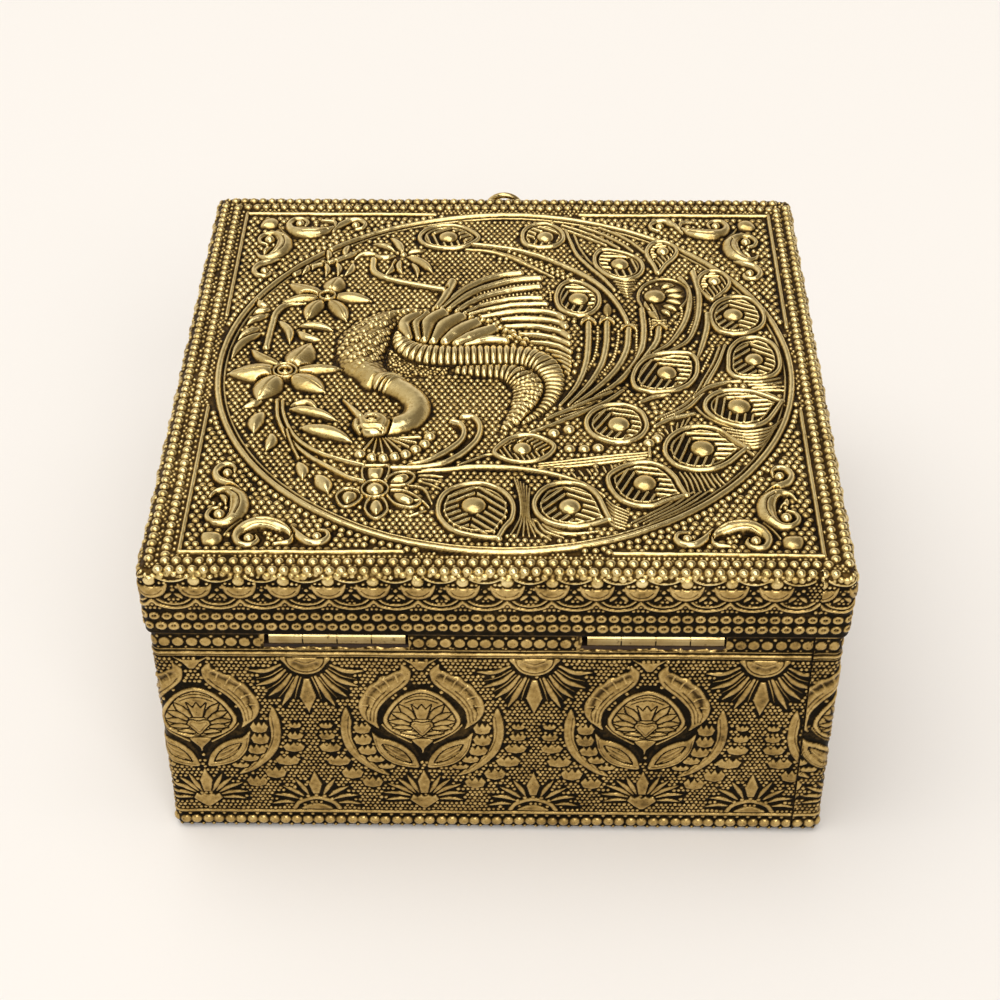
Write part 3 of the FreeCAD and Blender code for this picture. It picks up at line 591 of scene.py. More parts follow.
    # near sweep with its rods
    top.line([(-24, -40), (-14, -41), (-6, -39.8), (0, -39.7), (8, -41), (14, -43), (19, -45.6),
              (23.4, -49.6)], 1.7, 1.0, (0.5, 1, 1, 0.6))
    top.line([(-9, -39), (-5, -36.5), (-2, -35), (1, -36.5), (3.5, -38)], 0.8, 0.6)
    strands([(9, -38.4), (20, -36.4), (34, -34)],
            [(9, -40), (20, -38.6), (33, -36)], 3, 0.7, 0.45, (0.7, 1, 1))
    top.line([(34, -35.4), (34.1, -31.6)], 1.0, 0.75)
    strands([(12.6, -42.2), (14, -44)], [(27, -38), (27.4, -40)], 9, 0.6, 0.45)
    for place in ((12.5, -27), (16, -25.6), (16, -33), (19.3, -33), (22.5, -32.5), (36, -29),
                  (34, -30.6)):
        top.ball(place, 1.5, 1.2)
    strands([(36.4, -26.4), (37.6, -27.6)], [(44, -20.6), (42.6, -23.8)], 6, 0.6, 0.45)
    for place in ((29.8, -13.8), (36, -17), (36.2, -18.8), (35.6, -15.6)):
        top.ball(place, 0.9, 0.6)


def leaf_eye():
    """The ribbed leaf on its stalk among the rods."""
    top.patch([(38.5, 18), (35.6, 23), (34, 27), (34.4, 31.6), (36.6, 35), (40.4, 36.8), (44, 35.6),
               (46, 32.4), (46, 28), (44.4, 24), (41, 20.4)], 0.25, 0.8, moat=0.3)
    top.line(flow([(35.4, 23.2), (33.9, 27), (34.4, 31.6), (36.6, 35), (40.4, 36.8), (44, 35.6),
                   (46.2, 32.2), (46, 27.6), (44.2, 24)]), 1.1, 0.75, smooth=False)
    for start, end in (((39.8, 32.8), (43.2, 34)), ((40.6, 31), (45, 31.6)), ((41, 29), (45.3, 28.8)),
                       ((40.6, 26.8), (44.6, 25.8)), ((39.8, 24.8), (43.2, 22.8)),
                       ((39.2, 22.8), (41.4, 20.6))):
        top.leaf(start, end, 2.2, 1.0, 0.08, moat=0.15)
    top.leaf((38.6, 17.6), (37, 26), 2.8, 1.1, 0.08)
    top.leaf((37.2, 21.6), (35.4, 27), 1.6, 0.9, 0.1, moat=0.1)
    for u, v in ((36, 32.2), (37.2, 33.6), (38.8, 34.6), (35.4, 30.6)):
        top.ball((u, v), 0.6, 0.7)
    top.ball((38, 28.8), 2.8, 1.5, moat=0.3, flat=0.45)
    for v in (17.2, 18.4):
        top.line([(37, v), (38.6, v - 0.4), (40.2, v)], 0.8, 0.75)


def draw_bird():
    """The peacock: wing, ribbed back, scaled neck, head and crest."""
    # long feathers of the wing, and the comb under them
    for feather, width in (
        ([(-15.4, 22.4), (-12.6, 27), (-9.4, 31.4), (-5, 35.4), (0, 38), (4.6, 39)], 2.2),
        ([(-13.4, 22.2), (-10, 27.2), (-6, 31), (0, 34.5), (5, 36.3), (9.4, 36.9)], 2.3),
        ([(-11, 22), (-7.6, 25.8), (-3, 29), (3, 31.6), (9.2, 33)], 2.3),
        ([(-9, 21.4), (-5, 24.4), (0, 26.6), (5, 27.8), (9.8, 28)], 1.7),
        ([(-8, 20.6), (-3, 22.9), (2, 24.5), (7, 25.2), (11, 25.2)], 1.7),
        ([(-4.8, 19.4), (0, 21), (5, 22), (10, 21.8), (13.4, 20.6), (15, 19.2)], 2.2),
        ([(0.2, 18.3), (5, 18.7), (10, 18.3), (14, 17), (15.6, 15.4)], 2.3),
        ([(1, 15.4), (6, 15.6), (10, 15), (14.2, 13.3), (16.4, 10.9)], 2.1),
        ([(4.6, 12.2), (9, 11.7), (13, 10.4), (16.4, 8)], 2.0),
        ([(7.4, 9), (11, 8.2), (14, 7), (16.6, 4.8)], 1.7),
        ([(11, 5.6), (14, 4.4), (16.6, 2.4)], 1.2), ([(12.4, 3.6), (14.6, 2.4), (16.6, 0.6)], 1.1),
        ([(13.4, 1.6), (15, 0.6), (16.6, -1)], 1.0), ([(14, -0.4), (15.2, -1.3), (16.4, -2.6)], 0.9),
        ([(14.6, -2.6), (15.4, -3.2), (16.2, -4.2)], 0.8),
    ):
        top.line(feather, width, 0.75 + 0.25 * width, (0.6, 0.95, 1, 0.95), power=0.65)
        top.emboss(np.array(feather) + (0.1, 0.35), 0.4, -0.18)
    for trail in ([(-6.6, 29.4), (-2, 31.6), (3, 33.6), (8.6, 34.9)],
                  [(-5, 26.4), (0, 28.8), (4.6, 30), (8.8, 30.6)], [(11.4, 34), (12, 31), (12.2, 27.4)],
                  [(9.6, 24), (11.6, 23.8), (13, 23)], [(12.6, 15.9), (14.6, 14.8)]):
        bead_trail(trail, 1.0, 0.42, 0.6)
    for u, v in ((17.6, 12), (18.6, 9), (18.8, 6), (18.6, 3), (18, 0), (17.6, -3), (18.6, 15),
                 (17.8, 18)):
        top.ball((u, v), 0.75, 0.7)
    # leg and foot on the twig
    top.line([(-16, 23.4), (-14.2, 28), (-12.6, 34.6)], 2.7, 1.5, (0.7, 1, 1.1), moat=0.3)
    top.line([(-33, 45), (-32.6, 40), (-30, 37), (-25.6, 34.9), (-20, 33), (-14.6, 31.4)], 2.1, 1.2,
             moat=0.25)
    # downy breast under the back
    win, inside, _ = top.patch([(-27.4, 5), (-25.2, 5), (-22.6, 1.2), (-17, -0.8), (-11.4, -1.6),
                                (-12.6, -4.4), (-19, -5.2), (-24.4, -5), (-26.8, -2)], 0.7, 1.6,
                               moat=None)
    top.weave(win, inside, 0.95, 0.5, 0.9)
    # root of the tail under the back, scaled where it turns down
    root = [(-10.8, -2.7), (-7, -3), (0, -3.2), (4, -4.8), (6.6, -8.8), (6.8, -13), (5.9, -17.2),
            (3.8, -21.6), (0.6, -26)]
    wide = (0.3, 0.46, 0.54, 0.76, 0.86, 0.84, 0.75, 0.52, 0.18)
    top.line(root, 9.6, 2.2, wide, moat=0.3, ribs=(1.55, 0.7), power=0.6)
    p = flow(root)
    win, d, along, run = top.near(p, 7)
    tail = (along > 15) & (d < 4.8 * np.interp(along / run, np.linspace(0, 1, len(wide)), wide))
    top.weave(win, tail, 1.25, 0.4, 0.5)
    # ribbed back, turning down beside the root
    top.line([(-24.8, 12.6), (-24.2, 8.8), (-22.2, 5.7), (-18.6, 3.7), (-14, 3), (-8, 3), (-2, 3.2),
              (3, 3.2), (7.2, 2.2), (10.6, -0.6), (12.5, -5), (12.7, -10), (11.3, -15), (8.8, -19.4),
              (5.6, -23.4)],
             7.4, 2.3, (0.35, 0.7, 0.9, 1, 1, 1, 1, 1, 0.95, 0.85, 0.72, 0.6, 0.5, 0.38, 0.15),
             moat=0.25, ribs=(1.55, 0.75), power=0.55)
    top.emboss([(11.2, -1.6), (12.6, -5.4), (12.7, -10), (11.3, -15), (8.8, -19.4)], 5.5, -0.75)
    # smooth wing lobes
    for line, width in (
        ([(1.2, 9.2), (-3, 9.6), (-8.4, 7.4)], 2.6),
        ([(-2, 14), (-6, 11.4), (-10.6, 8)], 4.2),
        ([(-6.4, 16.6), (-10.2, 12.9), (-13.4, 8.8)], 4.6),
        ([(-10.2, 19), (-14.2, 14.6), (-16.4, 9.2)], 4.9),
        ([(-14.6, 20.6), (-18, 16.4), (-18.6, 9.6)], 4.7),
        ([(-18.4, 20.4), (-20.9, 16), (-20, 9.8)], 2.8),
        ([(-20.8, 20), (-23.8, 16), (-22.4, 10.4)], 3.6),
    ):
        top.line(line, width, 1.1 + 0.2 * width, (0.8, 1, 1, 0.7), moat=0.2, power=0.6)
    # small scales along the shoulder
    for u, v, turn in ((-16.6, 22.4, 1.2), (-14.6, 22.6, 1), (-12.8, 21.8, 0.9), (-10.8, 21.4, 0.8),
                       (-9, 20.2, 0.7), (-7.4, 18.8, 0.6), (-6, 17.8, 0.6), (-4.4, 17.4, 0.5),
                       (-3, 17.2, 0.4), (-1.6, 15.6, 0.3), (-0.2, 14.2, 0.2), (1.2, 13.2, 0.1),
                       (2.8, 12.8, 0), (3.2, 11.2, -0.2), (4.4, 10, -0.3), (2, 10.4, -0.1),
                       (6, 9.6, -0.4), (5.4, 8, -0.6)):
        way = np.array([math.cos(turn), math.sin(turn)])
        top.leaf(np.array((u, v)) - way, np.array((u, v)) + way, 1.2, 1.35, 0.1, moat=0.1)
    # scaled neck
    outer = [(-17.4, 23), (-22, 23.4), (-27.5, 22.6), (-32.5, 20), (-36.6, 16), (-39.2, 11),
             (-39.9, 5.5), (-39, 0), (-37, -4), (-34, -7.2), (-30.5, -10.5)]
    inner = [(-22.2, -6.4), (-24.6, -4.6), (-26.8, -2.6), (-27.6, 1), (-27, 5), (-26.4, 10),
             (-25.6, 15.5), (-23.6, 18.8), (-20, 20.8)]
    win, inside, _ = top.patch(outer + inner, 2.45, 6.6, moat=0.3, power=0.7)
    x, y = top.grid(win)
    top.weave(win, inside, 1.45, 0.55, 0.9, smooth_step(-6.5, 1.5, y + 0.2 * (x + 31)))
    # plain neck and head
    top.line([(-27.2, -7.8), (-24.8, -9.7), (-21.6, -12.6), (-19.4, -16), (-19.1, -19.6), (-20.6, -23),
              (-23.6, -25), (-26.6, -25.4)], 6.7, 2.4, (1.12, 1.04, 1, 0.98, 0.92))
    top.patch([(-33.9, -24.4), (-32.6, -21.6), (-29.6, -20.6), (-26.6, -21.4), (-24.6, -24.2),
               (-25.4, -28), (-28.4, -29.6), (-31.4, -29), (-33.2, -27.2)], 2.3, 1.9, moat=0.15,
              power=0.6)
    # collar: three ridges with cuts between them
    for step, rise in ((0, 0.4), (0.75, -0.35), (1.35, 0.25), (2.0, -0.35), (2.7, 0.4)):
        a = (-29.4 + 0.8 * step, -10.4 - 0.6 * step)
        b = (-27 + 0.85 * step, -7.6 - 0.35 * step)
        c = (-23.4 + 0.8 * step, -5.4 - 0.6 * step)
        top.emboss([a, b, c], 0.9, rise)
    # beak, eye and the lines of the face
    top.line([(-32, -21.8), (-34, -18.8), (-36.4, -15)], 1.9, 1.5, (1.2, 0.8, 0.3), moat=0.3)
    top.emboss([(-26.4, -21.4), (-25.6, -23.6), (-25.8, -26.2), (-26.8, -28.4)], 0.7, -0.2)
    top.emboss([(-32.9, -22.6), (-32.2, -24.6), (-31.9, -26.6), (-31.2, -28.8)], 0.9, -0.5)
    top.emboss([(-31.8, -26.7), (-30, -27), (-28, -26.8), (-26.2, -27.4)], 0.8, 0.3)
    top.emboss([(-31.6, -27.7), (-30, -28), (-28, -27.9), (-26.8, -28.4)], 0.6, -0.3)
    eighths = [k * 0.785 for k in range(9)]
    for wide, tall, width, rise in ((1.75, 1.3, 0.6, 0.4), (1.05, 0.75, 0.55, -0.5)):
        ring = [(-29.2 + wide * math.cos(t), -24.4 + tall * math.sin(t)) for t in eighths]
        top.emboss(ring, width, rise, smooth=False)
    crest = ((-31.2, -35.5), (-28.4, -36.6), (-25.8, -36.8), (-23.3, -36.2), (-21, -35.4), (-18.8, -33.6),
             (-16.8, -31.6), (-15.8, -28.8))
    for i, (u, v) in enumerate(crest):
        start = (-28.4 + 0.65 * i, -29.4)
        end = (start[0] + 0.74 * (u - start[0]), start[1] + 0.74 * (v - start[1]))
        top.line([start, end], 0.75, 0.75, (0.7, 1, 1), smooth=False)
        top.ball((u, v), 1.5, 1.4)
    # curled scrolls between the neck and the tail
    top.line([(-10.8, -23.4), (-8.8, -24.4), (-8, -27), (-8.5, -30), (-10.5, -33), (-13, -35.5),
              (-16, -37.8), (-20, -39.5)], 1.75, 1.25, (1.1, 1, 1, 0.7), moat=0.2)
    top.line([(-8.4, -21.6), (-6, -21.8), (-4.6, -24), (-4.4, -27), (-5.3, -30.5), (-7.5, -34),
              (-10, -36.8), (-13, -39), (-18, -40.2), (-24, -40.4)], 1.75, 1.25, (1.1, 1, 1, 0.7),
             moat=0.2)


def blossom(centre, petals, rings):
    """A flower of smooth petals round a ringed eye."""
    for start, end, width, bend in petals:
        top.leaf(start, end, width, 0.9 + 0.13 * width, bend, 0.8, moat=0.3, rib=0.16)
    for r, height in rings:
        top.hoop(centre, r, 0.85, height + 0.3, moat=0.15)
    top.ball(centre, 0.8, 0.9)


def draw_flowers():
    """Flowers, stems, buds and leaves on the left, and the twig above them."""
    # stems
    for stem, width in (
        ([(-46, 26.5), (-53, 24.5), (-55.5, 21), (-56, 16), (-56.3, 10), (-56.5, 6)], 1.8),
        ([(-50.5, -16), (-50, -20), (-48.5, -25), (-46, -30), (-42, -34), (-37, -37), (-32, -39),
          (-29, -40)], 1.1),
        ([(-51.8, -16), (-51, -22), (-49, -27.5), (-46, -32.5), (-42, -37), (-37, -41), (-33, -44),
          (-29.5, -45.5)], 1.1),
        ([(-48.5, -27), (-47, -32), (-45, -37)], 0.8),
        ([(-52.4, 38), (-48, 41.8), (-43.6, 44), (-40, 46.4), (-37, 48.4)], 1.5),
    ):
        top.line(stem, width * 1.15, 1.1, moat=0.2)
    # leaves and buds: start, end, width, bend
    for start, end, width, bend in (
        ((-57.6, 23.6), (-60.4, 26.2), 2.2, 0.2), ((-57, 22), (-61, 20.4), 2.2, -0.1),
        ((-57.4, 19.4), (-62.2, 15.8), 2.2, -0.1), ((-58.6, 14), (-63.6, 9.6), 2.4, -0.1),
        ((-58.2, 12), (-64.4, 1.6), 2.6, -0.12), ((-54.6, 17.4), (-51, 8), 2.6, 0.12),
        ((-49.2, 15.2), (-41, 13.4), 2.8, 0.12), ((-49.6, 12.6), (-43.2, 8.8), 2.6, -0.1),
        ((-48.5, -18.6), (-37.4, -23), 3.4, 0.08), ((-45.4, -26), (-33.4, -31), 4.6, 0.08),
        ((-48.4, -17), (-42, -19), 2.2, 0.3), ((-54.4, -20), (-56, -27.6), 3.8, -0.1),
        ((-52, -28), (-52.5, -34.2), 3, 0.1), ((-45, -38.6), (-43.4, -44.6), 3, 0.1),
        ((-40.6, -43.4), (-37.4, -49.2), 3.8, 0.08), ((-55.4, -14), (-59.6, -18.4), 2.4, 0.1),
        ((-45.2, 43.4), (-44.6, 37.6), 1.8, 0.1), ((-42.4, 43.8), (-41.6, 38), 1.8, 0.1),
        ((-38, 43.6), (-39.8, 37.6), 2.0, 0.1), ((-40.4, 47), (-39.4, 51.8), 1.8, 0.1),
        ((-44.6, 45.4), (-45.2, 49.6), 1.8, -0.1), ((-49.4, 42.4), (-50.6, 38.4), 1.7, 0.1),
        ((-25.6, 48), (-29.2, 55.6), 2.3, -0.08), ((-27.6, 49), (-33.6, 52.4), 1.9, -0.1),
        ((-27.4, 47), (-33.4, 47.4), 1.8, 0.2), ((-32, 47.6), (-38, 45.4), 1.9, -0.2),
        ((-24.4, 48), (-20.2, 49.2), 1.6, 0.1), ((-23.8, 46.8), (-21, 44.6), 1.6, 0.1),
        ((-24.4, 46.4), (-17.6, 39), 2.8, 0.1), ((-27.4, 45.6), (-29.6, 38), 2.0, 0.12),
        ((-26, 44.8), (-25.2, 38.4), 1.9, -0.12), ((-23.2, 43.4), (-21.4, 37.4), 1.6, 0.1),
    ):
        top.leaf(start, end, width * 1.1, 0.75 + 0.22 * width, bend, 0.9)
    top.ball((-25.4, 47.4), 1.0, 0.95)
    # three flowers
    blossom((-43.4, 28.2), (
        ((-44.8, 29.2), (-53.4, 33.6), 5.4, 0.05), ((-43, 30), (-40.8, 37), 6.2, 0.0),
        ((-41.6, 28), (-32.4, 26.2), 4.8, 0.05), ((-42.8, 26.2), (-38, 17.6), 4.8, 0.05),
        ((-44.6, 26.2), (-47.8, 18), 5.2, -0.05), ((-45.4, 27.6), (-54.4, 25.6), 3.6, -0.06)),
        ((1.9, 1.0),))
    blossom((-51, -4), (
        ((-53, -3.4), (-64.4, -5), 7.6, 0.02), ((-52.6, -1.4), (-60, 5.2), 3.4, 0.08),
        ((-50, -2), (-45.8, 7.4), 7.8, -0.03), ((-48.6, -3.6), (-37.6, -2.7), 4.4, 0.03),
        ((-49.2, -6), (-41, -12), 7, 0.03), ((-52.2, -6.2), (-56.4, -15.4), 7.4, -0.04)),
        ((2.7, 0.95), (1.6, 1.05)))
    for outline in (
        [(-30.2, -40.4), (-27.4, -39.8), (-24.4, -40.2), (-25.4, -45.4), (-29.4, -45.4)],
        [(-24.9, -46.4), (-23.6, -43), (-20.4, -41.8), (-18.6, -43.4), (-20.4, -46.4)],
        [(-24.4, -49), (-20.6, -48.6), (-16.9, -51.6), (-18.6, -54.2), (-22.4, -53)],
        [(-28, -51.2), (-28.8, -55), (-26.4, -58.2), (-24, -55.4), (-25.2, -51.2)],
        [(-30.2, -49), (-33.6, -48), (-35.4, -50.6), (-33.4, -54.4), (-30.2, -52)],
    ):
        middle = np.mean(outline, 0)
        top.patch(outline, 0.2, 0.5)
        top.line(flow(outline, 6, True), 0.8, 0.95, smooth=False)
        top.patch([middle + 0.66 * (np.array(q) - middle) for q in outline], 1.35, 1.6, moat=None)
    top.hoop((-27.1, -48), 2.9, 0.7, 1.0, moat=0.2)
    top.ball((-27.1, -48), 2.2, 1.6)
    # fronds beside the near flower
    strands([(-20, -46.4), (-16.4, -47.6), (-14.4, -52.4)],
            [(-19, -57), (-17, -56), (-15.6, -55)], 3, 0.8, 0.6)
    strands([(-18, -41.6), (-12, -41)], [(-17, -45), (-12.6, -47.4)], 4, 0.6, 0.5)


draw_edges()
for sx, sy, shift in ((1, 1, (0, 0)), (-1, 1, (0.2, 0)), (1, -1, (0, -0.6)), (-1, -1, (0.2, -0.6))):
    draw_corner(sx, sy, shift)
draw_tail()
draw_bird()
draw_flowers()


def in_ring(u, v):
    return np.hypot(u - RING[0], v - RING[1]) < RING_R - 1.8


def in_corner(u, v):
    outside = np.hypot(u - RING[0], v - RING[1]) > RING_R + 1.0
    across = (u > FRAME_LEFT + 0.8) & (u < FRAME_RIGHT - 0.8)
    return outside & across & (v < FRAME_FAR - 0.8) & (v > FRAME_NEAR + 0.8)


def on_edge(u, v):
    return (u < FRAME_LEFT) | (u > FRAME_RIGHT) | (v > FRAME_FAR) | (v < FRAME_NEAR)


top.dots(1.5, 0.72, 0.52, in_ring, 0.05)
top.dots(1.72, 0.84, 0.6, in_corner, 0.1)
top.dots(1.1, 0.52, 0.4, on_edge, 0.1)

# Lid side: s runs along the lid's edge from the seam's side, w up from the band's lower edge
RIM_SIDE = LID_TOP - LID_EDGE - BAND_LOW
RIM_RUN = RIM_SIDE + LID_EDGE * math.pi / 2


def loop_length(half, corner):
    return 8 * (half - corner) + 2 * math.pi * corner


LID_LOOP = loop_length(LID_HALF, LID_CORNER)
BODY_LOOP = loop_length(BODY_HALF, BODY_CORNER)
rim = Relief(0, LID_LOOP, 0, RIM_RUN, RIM_CELL)
RIM_ROWS = ((65.05, 230), (67.9, 228))  # height over the table, beads
CUPS = 64


def draw_rim():
    """Two rows of ringed beads, the cups and arcs over them, and the beaded fold."""
    for z, count in RIM_ROWS:
        pitch = LID_LOOP / count
        w = z - BAND_LOW
        for i in range(count):
            s = (i + 0.5) * pitch + 0.1 * math.sin(7 * i)
            r = 1.08 + 0.09 * math.sin(11 * i + z)
            rim.line([(s - 0.12, w), (s + 0.12, w + 0.08 * math.sin(17 * i))], 2 * r, 0.46,
                     smooth=False, power=0.32)
            rim.emboss([(s - 0.2, w + 0.15), (s + 0.2, w + 0.12)], 1.05, -0.32, smooth=False, floor=0.2)
            rim.ball((s + 0.06, w + 0.12), 0.3, 0.3, moat=None)
    pitch = LID_LOOP / CUPS
    for i in range(CUPS):
        s = (i + 0.53) * pitch

        def at(*points):
            return [(s + a, z - BAND_LOW) for a, z in points]

        def arc(*half):
            return at(*whole(0, half))

        # arcs that hang between the cups, with leaves and grains over them
        rim.line(arc((0, 70.4), (3, 71), (4.7, 72.5)), 0.85, 0.46)
        rim.line(arc((0, 71.45), (2.2, 71.9), (3.6, 73)), 0.6, 0.4)
        rim.leaf(*at((-2, 72.9), (-0.2, 74.5)), 1.2, 0.4, 0.1)
        rim.leaf(*at((2, 72.9), (0.2, 74.5)), 1.2, 0.4, -0.1)
        for a, z in ((0, 75.5), (-1, 76.3), (1, 76.3)):
            rim.ball(at((a, z))[0], 0.55, 0.36, moat=None)
        # flattened crescent under the fold
        rim.line(arc((0, 77.9), (1.8, 78.2), (3.3, 79)), 0.7, 0.34)
        # cup with a neck and a ball
        s += pitch / 2
        rim.patch(arc((0, 73), (2.4, 73.8), (3.5, 75.4), (3.7, 77.3), (2.6, 76.6), (1.4, 76.5),
                      (0.9, 77.2)), 0.62, 1.3, moat=0.3)
        rim.emboss(arc((0, 74.2), (1.5, 74.6), (2.5, 75.6)), 0.4, -0.3, floor=0.2)
        rim.line(at((0, 75.6), (0, 77.6)), 1.9, 0.6, smooth=False)
        rim.ball(at((0, 78))[0], 1.4, 0.7, moat=0.25)
        for a, z in ((-1.5, 70.2), (-0.5, 70.3), (0.5, 70.3), (1.5, 70.2), (-0.9, 71.2), (0, 71.3),
                     (0.9, 71.2), (0, 72.2)):
            rim.ball(at((a, z))[0], 0.46, 0.34, moat=None, gap=0.1)
    for along in edge_places():
        for side, name in enumerate(("near", "left", "far", "right")):
            rim.ball((rim_place(side, along), fold_place(EDGE_ROWS[name][0])), EDGE_BEAD, 0.85, moat=None)
    # the fold is beaten and crumpled
    for i in range(int(LID_LOOP / 1.4)):
        s = 1.4 * i + 0.4 * math.sin(13 * i)
        w = RIM_SIDE + 1.25 + 0.4 * math.sin(7.7 * i)
        rim.ball((s, w), 0.75 + 0.2 * math.sin(5.1 * i), 0.42 + 0.12 * math.sin(9.3 * i), moat=None,
                 gap=0.1, flat=0.5)


def fold_place(inset):
    """Place up the lid's side of a row that lies so far from the lid's middle."""
    if inset < TOP_EDGE:
        return RIM_RUN + TOP_EDGE - inset
    return RIM_SIDE + LID_EDGE * math.acos(1 - (LID_HALF - inset) / LID_EDGE)


def rim_place(side, along):
    """Where a bead at a place along one side lies on the loop; sides go back, +X, front, -X."""
    straight = 2 * (LID_HALF - LID_CORNER)
    turn = math.pi / 2 * LID_CORNER
    first = straight / 2 + along - (SEAM_X + straight / 2)
    return (first + side * (straight + turn)) % LID_LOOP


draw_rim()
rim.dots(1.0, 0.46, 0.32, lambda s, w: (w > 6.6) & (w < RIM_SIDE + 1), 0.08)

# Body side: s runs from the seam round the body, w is the height over the table
FIRST_CORNER = BODY_HALF - BODY_CORNER - SEAM_X + math.pi / 4 * BODY_CORNER
back_sheet = Relief(0, FIRST_CORNER, 0, BODY_HIGH, BACK_CELL)
side_sheet = Relief(FIRST_CORNER, BODY_LOOP, 0, BODY_HIGH, SIDE_CELL)
LOTUS_FIRST = 35.4
LOTUS_PITCH = 50.2
RAIL_BEADS = 206
FOOT_BEADS = 230


def pair(tool, s, points, *sizes, **more):
    """A form and its mirror image beside the middle line at s."""
    for sign in (1, -1):
        tool([(s + sign * a, z) for a, z in points], *sizes, **more)


def blade(s, points, width, height=0.36, ends=(0.35, 1, 0.9, 0.2), moat=None):
    pair(body.line, s, points, width, height, ends, gap=0.5, moat=moat)


def crown(s, z, wide, tall):
    """A small leaf cut in three points."""
    w = wide / 2
    half = [(0, z - tall / 2), (w * 0.75, z - tall * 0.35), (w, z + tall * 0.1),
            (w * 0.55, z + tall * 0.5), (w * 0.3, z + tall * 0.2), (0, z + tall * 0.55)]
    body.patch(whole(s, half), 0.36, 0.35, smooth=False)


def crowns(s, a, z, wide, tall):
    """Two such leaves, at a on both sides of the middle line at s."""
    for sign in (1, -1):
        crown(s + sign * a, z, wide, tall)


def sink(outline, low, edge=0.1):
    """Presses a hollow into forms that stand already."""
    win, inside, depth = body.patch(outline, 0.01, 0.2, moat=None)
    view = body.height[win]
    view[inside] = np.minimum(view[inside], np.where(depth[inside] < 0.4, edge, low))


